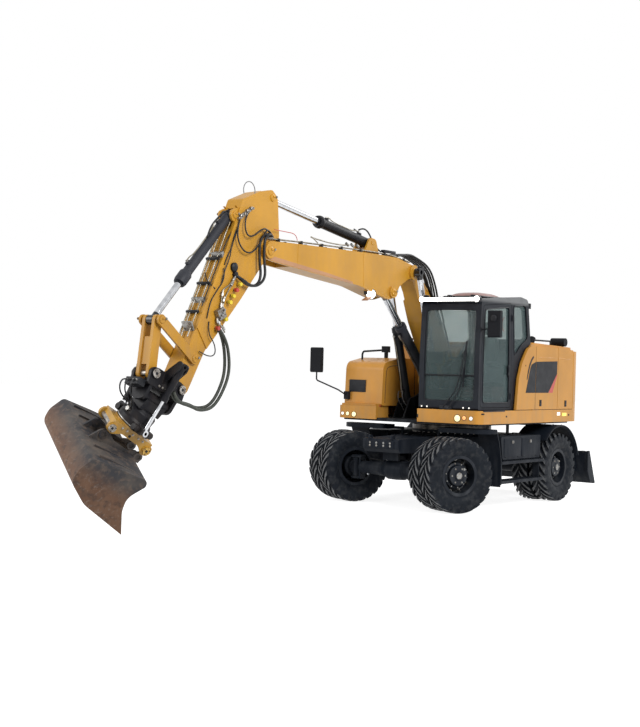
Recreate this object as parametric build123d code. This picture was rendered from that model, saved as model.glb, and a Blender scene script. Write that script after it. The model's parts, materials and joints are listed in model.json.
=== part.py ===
"""Wheeled excavator with a two-piece boom, a tilting and turning tool coupler and a ditching bucket.

Millimetres. +X points forward, +Y left, +Z up. The origin is on the ground below the centre of the
slewing ring. The upper structure looks straight ahead and the front wheels are steered to the right.
"""

import os
from math import acos, cos, hypot, radians, sin, tan

from build123d import *

# --- Driving dimensions -------------------------------------------------------------------------

# Wheels: pairs of 10.00-20 tyres
TYRE_R = 525
TYRE_W = 272
TWIN_PITCH = 305
PAIR_Y = 990
FRONT_X = 1500
REAR_X = -1140
KINGPIN_Y = 712
STEER_DEG = -27
STEER_ARM = 184
STEER_Z = 430
RIM_R = 254
HUB_R = 185

# Levels
CHASSIS_LOW = 700
CHASSIS_TOP = 1010
RING_LOW = 1085
RING_TOP = 1190
DECK_LOW = 1200
DECK_TOP = 1245
SKIRT_LOW = 1225
SKIRT_TOP = 1415

# Upper structure in plan
SIDE_Y = 1235
FRONT_SKIRT_X = 1310
TAIL_X = -2050
HOOD_Z = 2375
REAR_COVER_X = -1600
COVER_LINES = (-340, -1080)
BOOM_Y = -170
BOOM_GAP = (-530, 190)

# Cab
CAB_Y = (195, 1180)
CAB_FRONT_X = 1285
CAB_FLOOR_Z = 1425
CAB_WALL = 52

# Arm pins in the side view (x, z)
FOOT_PIN = (120, 1760)
KNEE_PIN = (1210, 3390)
ADJUST_BASE = (450, 1800)
ADJUST_EYE = (1750, 3070)
LIFT_BASE = (610, 1480)
TIP_PIN = (4585, 3420)
STICK_BASE = (2200, 3740)
STICK_EYE = (4487, 4100)
CURL_BASE = (5200, 3810)
CURL_EYE = (6500, 2465)
LEVER_PIN = (5920, 2030)
NOSE_PIN = (6140, 1660)
COUPLER_PIN = (6580, 1850)

# Arm widths, as half widths either side of the arm's own plane
BOX_HALF = 160
FORK_GAP = 126
KNEE_HALF = 118
STICK_HALF = 122
NOSE_HALF = 110
EYE_HALF = 45
LIFT_DY = 265

# Tool
TILT_DROP = 235
TILT_DEG = 35
TURN_DEG = 12.5
BUCKET_W = 1450

# Blade
BLADE_PIN = (-1750, 500)
BLADE_BASE = (-1640, 950)
BLADE_EYE = (-2120, 560)
BLADE_CYL_Y = 230
BLADE_HALF = 1250

# Hydraulic cylinders: pins (x, z), planes y, barrel length and radius, rod radius, rod length inside,
# half widths of the base eye and of the rod eye
CYLINDERS = {
    "lift": dict(base=LIFT_BASE, eye=KNEE_PIN, ys=(BOOM_Y - LIFT_DY, BOOM_Y + LIFT_DY),
                 barrel=1165, outer=66, rod=44, inside=640, base_half=74, half=43),
    "adjust": dict(base=ADJUST_BASE, eye=ADJUST_EYE, ys=(BOOM_Y,),
                   barrel=1160, outer=78, rod=50, inside=640, base_half=86, half=EYE_HALF),
    "stick": dict(base=STICK_BASE, eye=STICK_EYE, ys=(BOOM_Y,),
                  barrel=1184, outer=68, rod=46, inside=645, base_half=76, half=EYE_HALF),
    "curl": dict(base=CURL_BASE, eye=CURL_EYE, ys=(BOOM_Y,),
                 barrel=1236, outer=62, rod=41, inside=560, base_half=72, half=EYE_HALF),
    "blade": dict(base=BLADE_BASE, eye=BLADE_EYE, ys=(-BLADE_CYL_Y, BLADE_CYL_Y),
                  barrel=330, outer=52, rod=30, inside=150, base_half=60, half=32),
}

# --- Planes and simple bodies -------------------------------------------------------------------

SIDE = Plane(origin=(0, 0, 0), x_dir=(1, 0, 0), z_dir=(0, -1, 0))
FRONT = Plane(origin=(0, 0, 0), x_dir=(0, 1, 0), z_dir=(1, 0, 0))


def outline(points):
    """Flat face through corners (u, v) or (u, v, radius); a radius rounds its corner."""
    count = len(points)
    corners = [Vector(point[0], point[1]) for point in points]
    ends = []
    for i, point in enumerate(points):
        radius = point[2] if len(point) > 2 else 0
        here = corners[i]
        if radius == 0:
            ends.append((here, None, here))
            continue
        before = (corners[i - 1] - here).normalized()
        after = (corners[(i + 1) % count] - here).normalized()
        half = acos(before.dot(after)) / 2
        back = radius / tan(half)
        centre = here + (before + after).normalized() * (radius / sin(half))
        middle = centre + (here - centre).normalized() * radius
        ends.append((here + before * back, middle, here + after * back))
    edges = []
    for i, (start, middle, end) in enumerate(ends):
        if middle is not None:
            edges.append(Edge.make_three_point_arc(start, middle, end))
        following = ends[(i + 1) % count][0]
        if (following - end).length > 1e-6:
            edges.append(Edge.make_line(end, following))
    return Face(Wire(edges))


def side_plate(points, y0, y1):
    """Side profile (x, z) of a plate or box from y0 to y1."""
    return Solid.extrude(Pos(0, y0, 0) * (SIDE * outline(points)), Vector(0, y1 - y0, 0))


def front_plate(points, x0, x1):
    """Front profile (y, z) of a plate or box from x0 to x1."""
    return Solid.extrude(Pos(x0, 0, 0) * (FRONT * outline(points)), Vector(x1 - x0, 0, 0))


def plan_plate(points, z0, z1):
    """Plan outline (x, y) of a plate or box from z0 to z1."""
    return Solid.extrude(Pos(0, 0, z0) * outline(points), Vector(0, 0, z1 - z0))


def block(x0, x1, y0, y1, z0, z1):
    """Box between opposite corners."""
    return Solid.make_box(x1 - x0, y1 - y0, z1 - z0, Plane(origin=(x0, y0, z0)))


def bar(p, q, radius):
    """Round bar from p to q."""
    p, q = Vector(*p), Vector(*q)
    return Solid.make_cylinder(radius, (q - p).length, Plane(origin=p, z_dir=q - p))


def cross_pin(point, radius, y0, y1):
    """Round bar across the machine at a side-view point (x, z)."""
    return bar((point[0], y0, point[1]), (point[0], y1, point[1]), radius)


def turned(profile, centre, axis):
    """Revolved body; the profile holds (distance along the axis, radius)."""
    axis = Vector(*axis).normalized()
    helper = Vector(0, 0, 1) if abs(axis.Z) < 0.9 else Vector(1, 0, 0)
    plane = Plane(origin=centre, x_dir=axis, z_dir=axis.cross(helper))
    return Solid.revolve(plane * outline(profile), 360, Axis(centre, axis))


def bent_bar(points, radius, bend):
    """Round bar through points, its corners bent to one radius."""
    path = FilletPolyline(*points, radius=bend)
    section = Plane(origin=path @ 0, z_dir=path % 0) * Circle(radius)
    return sweep(section, path=path)


def joined(*shapes):
    """One body welded from overlapping solids."""
    return Part() + list(shapes)


def both_sides(shape):
    """A piece and its mirror image across the machine's centre plane."""
    return [shape, shape.mirror(Plane.XZ)]


# --- Undercarriage ------------------------------------------------------------------------------

BEAM_HALF = 300
TURRET_R = 560


def chassis_frame():
    """Welded box frame: turret, front and rear beams, axle saddle, blade lugs and outrigger plates."""
    body = plan_plate([(-820, -430, 60), (820, -430, 60), (820, 430, 60), (-820, 430, 60)], 640, CHASSIS_TOP)
    front = side_plate([(780, 760), (1900, 790), (1960, 850, 40), (1960, 980, 30), (780, CHASSIS_TOP)],
                       -BEAM_HALF, BEAM_HALF)
    rear = side_plate([(-780, CHASSIS_LOW), (-1700, CHASSIS_LOW), (-1780, 760, 40), (-1780, 985, 30),
                       (-780, CHASSIS_TOP)], -330, 330)
    turret = bar((0, 0, CHASSIS_TOP - 40), (0, 0, RING_LOW), TURRET_R)
    flange = bar((0, 0, RING_LOW - 35), (0, 0, RING_LOW), TURRET_R + 50)
    saddle = block(FRONT_X - 190, FRONT_X - 150, -130, 130, 665, 800)
    saddle_front = block(FRONT_X + 150, FRONT_X + 190, -130, 130, 665, 800)
    rear_pads = [block(REAR_X - 130, REAR_X + 130, y - 35, y + 35, 656, CHASSIS_LOW + 20) for y in (-290, 290)]
    lugs = []
    for y in (-300, -190, 190, 300):
        lugs.append(side_plate([(-1700, 720), (-1660, 440, 40), (-1800, 420, 70), (-1830, 560, 40), (-1775, 760)],
                               y - 15, y + 15))
    towers = []
    for y in (-BLADE_CYL_Y - 88, -BLADE_CYL_Y + 66, BLADE_CYL_Y - 88, BLADE_CYL_Y + 66):
        towers.append(side_plate([(-1520, 980), (-1580, 860), (-1700, 860, 50), (-1700, 985, 50)], y, y + 22))
    outriggers = []
    for x in (-560, 0, 560):
        plate = front_plate([(400, 690), (740, 900, 40), (740, 1000), (400, 1000)], x, x + 16)
        outriggers += both_sides(plate)
    frame = joined(body, front, rear, turret, flange, saddle, saddle_front, *rear_pads, *lugs, *outriggers)
    slots = [block(-1860, -1560, y - 66, y + 66, 712, 1100) for y in (-BLADE_CYL_Y, BLADE_CYL_Y)]
    frame = frame - slots
    frame = frame + towers
    return frame - cross_pin(BLADE_PIN, 28, -400, 400)


def slew_ring():
    """Toothed slewing bearing between chassis and deck, its outer race and the seal lip."""
    ring = turned([(RING_LOW, 470), (RING_LOW, 600), (RING_TOP - 40, 600), (RING_TOP - 30, 575),
                   (RING_TOP, 575), (RING_TOP, 470)], (0, 0, 0), (0, 0, 1))
    return ring


# Steering rod's axis: behind the axle where the knuckles' arms hold it
STEER_ROD_X = FRONT_X - STEER_ARM * cos(radians(STEER_DEG))


def front_axle():
    """Steered axle: differential housing, arms, forked ends and the steering cylinder behind it."""
    half_profile = [(0, 0), (0, 150), (130, 145, 30), (215, 105, 40), (KINGPIN_Y - 190, 88),
                    (KINGPIN_Y - 95, 100), (KINGPIN_Y - 95, 0)]
    arm = turned(half_profile, (FRONT_X, 0, TYRE_R), (0, 1, 0))
    nose = bar((FRONT_X - 330, 0, TYRE_R + 20), (FRONT_X - 100, 0, TYRE_R + 20), 78)
    trunnions = bar((FRONT_X - 148, 0, TYRE_R + 190), (FRONT_X + 148, 0, TYRE_R + 190), 60)
    neck = block(FRONT_X - 70, FRONT_X + 70, -80, 80, TYRE_R + 120, TYRE_R + 200)
    fork = side_plate([(FRONT_X - 70, TYRE_R - 175, 30), (FRONT_X + 70, TYRE_R - 175, 30),
                       (FRONT_X + 70, TYRE_R + 175, 30), (FRONT_X - 70, TYRE_R + 175, 30)],
                      KINGPIN_Y - 110, KINGPIN_Y + 55)
    opening = block(FRONT_X - 90, FRONT_X + 90, KINGPIN_Y - 82, KINGPIN_Y + 80, TYRE_R - 140, TYRE_R + 140)
    ends = both_sides((Part() + fork) - opening)
    cylinder = bar((STEER_ROD_X, -200, STEER_Z), (STEER_ROD_X, 200, STEER_Z), 42)
    straps = both_sides(block(STEER_ROD_X - 20, FRONT_X - 60, 90, 130, STEER_Z - 20, STEER_Z + 60))
    axle = joined(arm, arm.mirror(Plane.XZ), nose, trunnions, neck, *ends, cylinder, *straps)
    return axle - bar((STEER_ROD_X, -260, STEER_Z), (STEER_ROD_X, 260, STEER_Z), 26)


def steering_rod():
    """Through rod of the steering cylinder, with a joint block under each knuckle's arm."""
    shift = -STEER_ARM * sin(radians(STEER_DEG))
    low, high = shift - KINGPIN_Y, shift + KINGPIN_Y
    rod = bar((STEER_ROD_X, low, STEER_Z), (STEER_ROD_X, high, STEER_Z), 22)
    blocks = [bar((STEER_ROD_X, y, STEER_Z - 24), (STEER_ROD_X, y, STEER_Z + 24), 25) for y in (low, high)]
    return joined(rod, *blocks)


def steered(side):
    """Turn of a front wheel's pieces about its kingpin."""
    pin = Pos(FRONT_X, side * KINGPIN_Y, 0)
    return pin * Rot(0, 0, STEER_DEG) * Pos(-FRONT_X, -side * KINGPIN_Y, 0)


def knuckle(side):
    """Steering knuckle: kingpin barrel, spindle drum and steering arm."""
    barrel = bar((FRONT_X, side * KINGPIN_Y, TYRE_R - 134), (FRONT_X, side * KINGPIN_Y, TYRE_R + 134), 62)
    reach = PAIR_Y - 70 - KINGPIN_Y
    drum = turned([(-20, 0), (-20, 110), (88, 110), (105, 150, 15), (reach, 150), (reach, 0)],
                  (FRONT_X, side * KINGPIN_Y, TYRE_R), (0, side, 0))
    arm = block(FRONT_X - STEER_ARM, FRONT_X, side * KINGPIN_Y - 25, side * KINGPIN_Y + 25,
                STEER_Z + 28, STEER_Z + 54)
    end = bar((FRONT_X - STEER_ARM, side * KINGPIN_Y, STEER_Z + 28),
              (FRONT_X - STEER_ARM, side * KINGPIN_Y, STEER_Z + 54), 25)
    return steered(side) * joined(barrel, drum, arm, end)


def rear_axle():
    """Rigid rear axle with its transfer gearbox and travel motor."""
    half_profile = [(0, 0), (0, 170), (130, 165, 30), (225, 112, 40), (640, 108), (650, 190), (690, 190),
                    (700, 150), (920, 150), (920, 0)]
    arm = turned(half_profile, (REAR_X, 0, TYRE_R), (0, 1, 0))
    gearbox = side_plate([(REAR_X + 120, 430, 40), (REAR_X + 470, 400, 60), (REAR_X + 500, 600, 40),
                          (REAR_X + 120, 630)], -150, 150)
    motor = bar((REAR_X + 330, 140, 520), (REAR_X + 330, 330, 520), 105)
    pads = [block(REAR_X - 110, REAR_X + 110, y - 35, y + 35, 560, 655) for y in (-290, 290)]
    return joined(arm, arm.mirror(Plane.XZ), gearbox, motor, *pads)


def drive_shaft():
    """Propeller shaft from the transfer gearbox to the front axle, with its joints."""
    z = TYRE_R + 20
    rear, front = REAR_X + 500, FRONT_X - 330
    tube = bar((rear + 60, 0, z), (front - 60, 0, z), 40)
    flanges = [bar((rear, 0, z), (rear + 90, 0, z), 62), bar((front - 90, 0, z), (front, 0, z), 62)]
    return joined(tube, *flanges)


def mudguards():
    """Front guards with a rolled edge and a plate behind each wheel, and the arched rear guards."""
    guards = []
    top = plan_plate([(880, 470, 40), (1200, 470, 60), (1200, 1270, 280), (880, 1270, 40)], 1085, 1150)
    hollow = plan_plate([(860, 490), (1178, 490, 40), (1178, 1248, 262), (860, 1248)], 1060, 1130)
    stay = joined(block(880, 920, 302, 600, 1085, 1120), block(880, 920, 302, 325, 900, 1120))
    curtain = side_plate([(905, 1150), (880, 1150), (795, 960, 260), (722, 700, 500), (715, 350), (731, 350),
                          (740, 700, 500), (812, 955, 260)], 950, 1270)
    guard = joined(top) - hollow
    guard = guard + [stay, curtain, block(880, 905, 470, 1270, 1085, 1150)]
    guards += both_sides(guard)
    arch = turned([(760, 0), (760, 655), (1280, 655), (1280, 0)], (REAR_X, 0, TYRE_R), (0, 1, 0))
    arch = joined(arch) - turned([(700, 0), (700, 622), (1262, 622), (1262, 638), (1300, 638), (1300, 0)],
                                 (REAR_X, 0, TYRE_R), (0, 1, 0))
    sector = side_plate([(REAR_X, TYRE_R), (REAR_X - 900, TYRE_R + 240), (REAR_X - 900, TYRE_R + 900),
                         (REAR_X + 900, TYRE_R + 900), (REAR_X + 900, TYRE_R + 810)], 600, 1400)
    arch = arch & sector
    stays = block(REAR_X - 30, REAR_X + 30, 332, 800, 1150, 1178)
    post = block(REAR_X - 30, REAR_X + 30, 332, 356, 900, 1178)
    guards += both_sides(arch + [stays, post])
    return Part() + guards


def toolboxes():
    """Left toolbox with two treads and right fuel box, both carried by the outrigger plates."""
    pieces = []
    for side in (1, -1):
        shell = side_plate([(-560, 700, 40), (-585, 1040, 30), (660, 1040, 30), (600, 700, 40)],
                           min(side * 745, side * 1215), max(side * 745, side * 1215))
        treads = []
        for z in (640, 360):
            treads.append(block(-590, 690, min(side * 1090, side * 1262), max(side * 1090, side * 1262), z, z + 42))
        hangers = []
        for x in (-575, 588):
            hangers.append(block(x, x + 18, min(side * 1100, side * 1205), max(side * 1100, side * 1205), 360, 800))
        pieces.append(joined(shell, *treads, *hangers))
    return Part() + pieces


def wheel_place(front, side):
    """Where a wheel pair goes: straight on the rear axle, steered on the front one."""
    if front:
        return steered(side) * Pos(FRONT_X, side * PAIR_Y, TYRE_R)
    return Pos(REAR_X, side * PAIR_Y, TYRE_R)


def tyres(front, side):
    """Two tyres side by side on one hub."""
    half = TYRE_W / 2
    section = [(-78, RIM_R + 2), (78, RIM_R + 2), (78, 289), (half - 22, 320), (half, 400, 60),
               (half - 12, 478), (half - 30, TYRE_R, 12), (-half + 30, TYRE_R, 12), (-half + 12, 478),
               (-half, 400, 60), (-half + 22, 320), (-78, 289)]
    place = wheel_place(front, side)
    pair = [turned(section, (0, y, 0), (0, 1, 0)) for y in (-TWIN_PITCH / 2, TWIN_PITCH / 2)]
    return Part() + [place * tyre for tyre in pair]


def rims(front, side):
    """Twin rims on one disc with the planetary hub through the outer one."""
    reach = TWIN_PITCH / 2 + 95
    profile = [(-reach, 240), (-reach, 284), (-reach + 14, 284), (-reach + 14, RIM_R), (-72, RIM_R), (-72, 284),
               (-58, 284), (-46, 262), (46, 262), (58, 284), (72, 284), (72, RIM_R), (reach - 14, RIM_R),
               (reach - 14, 284), (reach, 284), (reach, 240), (60, 240), (48, HUB_R + 20), (48, HUB_R),
               (150, HUB_R, 15), (165, 150, 10), (215, 140, 15), (222, 70), (236, 60), (236, 0), (-65, 0),
               (-65, 150), (16, 200), (16, 240)]
    shape = turned(profile, (0, 0, 0), (0, side, 0))
    return wheel_place(front, side) * (Part() + [shape])


def blade():
    """Rear dozer blade: curved face, end plates, push arms and cylinder lugs."""
    back = [(-2190, 735), (-2225, 735), (-2290, 560, 500), (-2345, 380, 500), (-2465, 215), (-2420, 208),
            (-2300, 340, 400), (-2245, 500, 400)]
    face = side_plate(back, -BLADE_HALF, BLADE_HALF)
    ends = []
    for y in (-BLADE_HALF, BLADE_HALF - 20):
        ends.append(side_plate([(-2185, 740), (-2245, 740), (-2475, 212), (-2300, 235), (-2185, 420)], y, y + 20))
    arms = []
    for y in (-245, 245):
        arms.append(side_plate([(-2290, 470), (-2310, 345), (-1760, 442), (-1760, 555)], y - 36, y + 36))
        arms.append(cross_pin(BLADE_PIN, 62, y - 36, y + 36))
    lugs = []
    for y in (-BLADE_CYL_Y - 64, -BLADE_CYL_Y + 42, BLADE_CYL_Y - 64, BLADE_CYL_Y + 42):
        lugs.append(side_plate([(-2280, 700), (-2280, 470), (-2110, 500, 50), (-2060, 600, 50), (-2160, 640)],
                               y, y + 22))
    ribs = [block(-2320, -2200, y, y + 16, 400, 640) for y in (-1010, -620, 604, 994)]
    body = joined(face, *ends, *arms, *lugs, *ribs)
    clear = [side_plate([(-2040, 720), (-2195, 720), (-2195, 500), (-2040, 500)], y - 38, y + 38)
             for y in (-BLADE_CYL_Y, BLADE_CYL_Y)]
    body = body - clear
    return body - cross_pin(BLADE_PIN, 28, -400, 400)


# --- Hydraulic cylinders ------------------------------------------------------------------------


def cylinder_frame(base, eye, y):
    """Plane at the base pin, x along the cylinder, y across the machine; and the pins' distance."""
    start, end = Vector(base[0], y, base[1]), Vector(eye[0], y, eye[1])
    direction = end - start
    return Plane(origin=start, x_dir=direction, z_dir=direction.cross(Vector(0, 1, 0))), direction.length


def barrel_body(spec):
    """Barrel in its own frame: base eye, tube with an open bore and the gland nut."""
    eye_r = spec["outer"] * 0.95
    half = spec["base_half"]
    eye = bar((0, -half, 0), (0, half, 0), eye_r)
    tube = bar((eye_r * 0.6, 0, 0), (spec["barrel"], 0, 0), spec["outer"])
    gland = bar((spec["barrel"] - 70, 0, 0), (spec["barrel"], 0, 0), spec["outer"] + 9)
    bore = bar((eye_r + 15, 0, 0), (spec["barrel"] + 5, 0, 0), spec["rod"] + 3)
    hole = bar((0, -half - 1, 0), (0, half + 1, 0), eye_r * 0.5)
    return joined(eye, tube, gland) - [bore, hole]


def rod_body(spec, length):
    """Rod in the barrel's frame: polished bar with its eye at the pins' distance."""
    eye_r = spec["outer"] * 0.95
    half = spec["half"]
    shaft = bar((spec["barrel"] - spec["inside"], 0, 0), (length - eye_r * 0.6, 0, 0), spec["rod"])
    eye = bar((length, -half, 0), (length, half, 0), eye_r)
    hole = bar((length, -half - 1, 0), (length, half + 1, 0), eye_r * 0.5)
    return joined(shaft, eye) - hole


def barrels(name):
    """All barrels of one kind, each at its own plane."""
    spec = CYLINDERS[name]
    shapes = [cylinder_frame(spec["base"], spec["eye"], y)[0] * barrel_body(spec) for y in spec["ys"]]
    return Part() + shapes


def rods(name):
    """All rods of one kind."""
    spec = CYLINDERS[name]
    shapes = []
    for y in spec["ys"]:
        plane, length = cylinder_frame(spec["base"], spec["eye"], y)
        shapes.append(plane * rod_body(spec, length))
    return Part() + shapes


# --- Upper structure ----------------------------------------------------------------------------


def upper_frame():
    """Deck plate with the boom tower, which also holds the lift cylinders' feet with an outer lug each."""
    rear = REAR_COVER_X - 8
    deck = plan_plate([(rear, -1150), (1280, -1150, 60), (1280, 1150, 60), (rear, 1150)], DECK_LOW, DECK_TOP)
    ear = [(-400, DECK_TOP - 5), (-300, 1500), (-20, 1900, 100), (240, 1900, 110), (360, 1640, 80),
           (540, 1570, 60), (690, 1545, 60), (860, DECK_TOP - 5)]
    ears = arm_plate(ear, 158, 183)
    lug = [(430, DECK_TOP - 5), (540, 1540, 70), (690, 1545, 60), (860, DECK_TOP - 5)]
    lugs = arm_plate(lug, LIFT_DY + 80, LIFT_DY + 95)
    cross = block(-330, -290, BOOM_Y - 170, BOOM_Y + 170, DECK_TOP - 5, 1400)
    return joined(deck, *ears, *lugs, cross)


def skirt_panels():
    """Painted apron round the deck's edge: left side, left front, right side and right front."""
    left = plan_plate([(REAR_COVER_X, SIDE_Y - 30), (REAR_COVER_X, SIDE_Y), (FRONT_SKIRT_X, SIDE_Y, 110),
                       (FRONT_SKIRT_X, 190), (FRONT_SKIRT_X - 28, 190), (FRONT_SKIRT_X - 28, SIDE_Y - 28, 84),
                       (900, SIDE_Y - 30)], SKIRT_LOW, SKIRT_TOP)
    right = plan_plate([(REAR_COVER_X, -SIDE_Y), (REAR_COVER_X, -SIDE_Y + 30), (900, -SIDE_Y + 30),
                        (FRONT_SKIRT_X - 28, -SIDE_Y + 28, 84), (FRONT_SKIRT_X - 28, -530),
                        (FRONT_SKIRT_X, -530), (FRONT_SKIRT_X, -SIDE_Y, 110)], SKIRT_LOW, SKIRT_TOP)
    return Part() + [left, right]


def counterweight():
    """Cast counterweight: a tail rounded to the swing radius, its top edge rounded over."""
    front = REAR_COVER_X - 8
    plan = [(front, -SIDE_Y, 10), (front, SIDE_Y, 10), (-1760, SIDE_Y - 20, 120), (-1960, 860, 500),
            (TAIL_X, 300, 900), (TAIL_X, -300, 900), (-1960, -860, 500), (-1760, -SIDE_Y + 20, 120)]
    body = plan_plate(plan, SKIRT_LOW, 2330)
    crown = side_plate([(-1400, 1100), (-2150, 1100), (-2150, 1900), (TAIL_X, 2180, 120), (-1850, 2320, 200),
                        (-1400, 2330)], -1400, 1400)
    foot = side_plate([(front, SKIRT_LOW), (-1700, SKIRT_LOW), (-1640, 1260, 30), (front, 1260)], -1100, 1100)
    return (Part() + body & crown) + foot


# Edge between the cab's tail and the fixed cover behind it, top to bottom
CAB_TAIL = [(-245, 2396), (-60, 2325, 150), (110, 2115, 250), (205, 1880, 300), (262, CAB_FLOOR_Z)]


def body_panels():
    """Fixed covers: the curved one behind the cab, the right side, and the engine bay's walls."""
    gap = 14
    inner, outer = SIDE_Y - 45, SIDE_Y - 5
    edge = [(x - gap, z) + tuple(rest) for x, z, *rest in CAB_TAIL[:-1]]
    curved = side_plate(edge + [(262 - gap, SKIRT_TOP + 8), (COVER_LINES[0] + 5, SKIRT_TOP + 8),
                                (COVER_LINES[0] + 5, HOOD_Z - 4)], inner, outer)
    right = side_plate([(-430, SKIRT_TOP + 8), (REAR_COVER_X, SKIRT_TOP + 8), (REAR_COVER_X, 2325, 30),
                        (-430, HOOD_Z - 4)], -outer, -inner)
    wall = block(-470, -430, -inner - 2, 1165, SKIRT_TOP + 8, HOOD_Z - 12)
    return joined(right, wall) + [curved]


def service_door(line_front, line_rear):
    """Side service door: pressed skin with a folded inner flange."""
    z0, z1 = SKIRT_TOP + 8, HOOD_Z - 4
    door = side_plate([(line_front, z0), (line_rear, z0), (line_rear, z1 - (30 if line_rear < -1500 else 4), 20),
                       (line_front, z1)], SIDE_Y - 40, SIDE_Y - 5)
    flange = side_plate([(line_front - 35, z0 + 40), (line_rear + 35, z0 + 40), (line_rear + 35, z1 - 70, 30),
                         (line_front - 35, z1 - 60, 30)], SIDE_Y - 58, SIDE_Y - 38)
    return joined(door, flange)


def engine_hood():
    """Engine cover over the bay, hinged at its rear edge."""
    shell = side_plate([(-262, HOOD_Z), (REAR_COVER_X + 40, 2340), (-1700, 2338), (-1700, 2362, 20),
                        (REAR_COVER_X + 40, 2385, 100), (-262, 2425, 30)], -1190, 1190)
    crown = plan_plate([(-262, -1190, 60), (-262, 1190, 60), (-1700, 1190, 160), (-1700, -1190, 160)], 2300, 2500)
    return joined(shell) & crown


def engine_block():
    """Engine with its pump as one plain mass."""
    return joined(block(-1380, -560, -620, 620, 1330, 2180))


def tank_box():
    """Right-hand tank and storage box in front of the engine bay."""
    side_y, inner_y = -SIDE_Y + 20, BOOM_GAP[0] - 10
    body = side_plate([(-420, SKIRT_TOP + 8), (1150, SKIRT_TOP + 8, 30), (1120, 2060, 130), (700, 2140, 200),
                       (-420, 2140)], side_y, inner_y)
    round_off = front_plate([(side_y - 5, 1300), (inner_y + 5, 1300), (inner_y + 5, 2200), (side_y - 5, 2200, 90)],
                            -600, 1300)
    step = block(900, 1240, side_y + 20, inner_y - 40, DECK_TOP, SKIRT_TOP + 30)
    return (Part() + body & round_off) + step


# --- Cab ----------------------------------------------------------------------------------------

CAB_SIDE = [(CAB_FRONT_X, CAB_FLOOR_Z, 25), (CAB_FRONT_X + 5, 2200, 1500), (CAB_FRONT_X - 30, 2950, 60),
            (CAB_FRONT_X - 130, 3005, 150), (100, 3085, 300), (-135, 3052, 90)] + CAB_TAIL
CAB_HOLLOW = [(CAB_FRONT_X - CAB_WALL, CAB_FLOOR_Z + 50), (CAB_FRONT_X + 5 - CAB_WALL, 2200, 1500),
              (CAB_FRONT_X - 30 - CAB_WALL, 2900, 60), (CAB_FRONT_X - 150, 2950, 120), (100, 3030, 300),
              (-85, 3005, 60), (-190, 2440), (-20, 2370, 150), (160, 2150, 250), (255, 1900, 300),
              (312, CAB_FLOOR_Z + 50)]
DOOR_SIDE = [(CAB_FRONT_X - 62, 1462, 50), (CAB_FRONT_X - 58, 2200, 1500), (CAB_FRONT_X - 85, 2905, 50),
             (380, 2975, 50), (330, 1462, 60)]
DOOR_GLASS = [(CAB_FRONT_X - 118, 1530, 60), (CAB_FRONT_X - 115, 2200, 1400), (CAB_FRONT_X - 140, 2850, 50),
              (446, 2915, 50), (396, 1530, 60)]


def inset(points, gap):
    """Outline moved inwards by a gap, as a face."""
    return offset(outline(points), amount=-gap)


def side_prism(face, y0, y1):
    """Body from a flat face in the side view."""
    return Solid.extrude((Pos(0, y0, 0) * (SIDE * face)).face(), Vector(0, y1 - y0, 0))


def cab_frame():
    """Hollow cab: pressed pillars and roof, glazed openings cut, door opening on the left."""
    y0, y1 = CAB_Y
    outer = side_plate(CAB_SIDE, y0, y1)
    inner = side_plate(CAB_HOLLOW, y0 + CAB_WALL, y1 - CAB_WALL)
    shell = (Part() + outer) - inner
    windscreen = front_plate([(y0 + 80, 1540, 40), (y1 - 80, 1540, 40), (y1 - 80, 2850, 60), (y0 + 80, 2850, 60)],
                             1000, 1400)
    rear_window = front_plate([(y0 + 100, 2470, 50), (y1 - 100, 2470, 50), (y1 - 100, 2940, 60),
                               (y0 + 100, 2940, 60)], -400, 60)
    right_window = side_plate([(1130, 1700, 60), (1120, 2850, 60), (-50, 2900, 60), (-110, 2480, 60),
                               (330, 2100, 80), (360, 1700, 60)], y0 - 10, y0 + 100)
    left_window = side_plate(REAR_QUARTER, y1 - 100, y1 + 10)
    door_hole = side_prism(offset(outline(DOOR_SIDE), amount=6), y1 - 100, y1 + 10)
    hatch = plan_plate([(250, y0 + 200, 50), (950, y0 + 200, 50), (950, y1 - 200, 50), (250, y1 - 200, 50)],
                       2900, 3200)
    return shell - [windscreen, rear_window, right_window, left_window, door_hole, hatch]


REAR_QUARTER = [(262, 2200, 60), (312, 2945, 40), (-60, 2965, 60), (-150, 2480, 70), (60, 2370, 200)]


def cab_glass():
    """Fixed panes: split windscreen, rear, right and left rear windows, and the roof hatch."""
    y0, y1 = CAB_Y
    rail = 1895
    pane_x = CAB_FRONT_X - 26
    lower = side_plate([(pane_x, 1546), (pane_x + 3, rail), (pane_x - 5, rail), (pane_x - 8, 1546)],
                       y0 + 86, y1 - 86)
    upper = side_plate([(pane_x + 3, rail + 24), (pane_x + 1, 2240, 800), (pane_x - 26, 2844), (pane_x - 34, 2844),
                        (pane_x - 7, 2240, 800), (pane_x - 5, rail + 24)], y0 + 86, y1 - 86)
    screen = front_plate([(y0 + 86, 1546, 40), (y1 - 86, 1546, 40), (y1 - 86, 2844, 60), (y0 + 86, 2844, 60)],
                         1000, 1400)
    front = joined(lower, upper) & screen
    rear = side_plate([(-205, 2476), (-127, 2934), (-119, 2934), (-197, 2476)], y0 + 106, y1 - 106)
    rear = joined(rear) & front_plate([(y0 + 106, 2476, 50), (y1 - 106, 2476, 50), (y1 - 106, 2934, 60),
                                       (y0 + 106, 2934, 60)], -400, 60)
    right = side_prism(inset([(1130, 1700, 60), (1120, 2850, 60), (-50, 2900, 60), (-110, 2480, 60),
                              (330, 2100, 80), (360, 1700, 60)], 5), y0 + 18, y0 + 26)
    left = side_prism(inset(REAR_QUARTER, 5), y1 - 26, y1 - 18)
    hatch = plan_plate([(256, y0 + 206, 44), (944, y0 + 206, 44), (944, y1 - 206, 44), (256, y1 - 206, 44)],
                       3022, 3030)
    return front + [rear, right, left, hatch]


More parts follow.
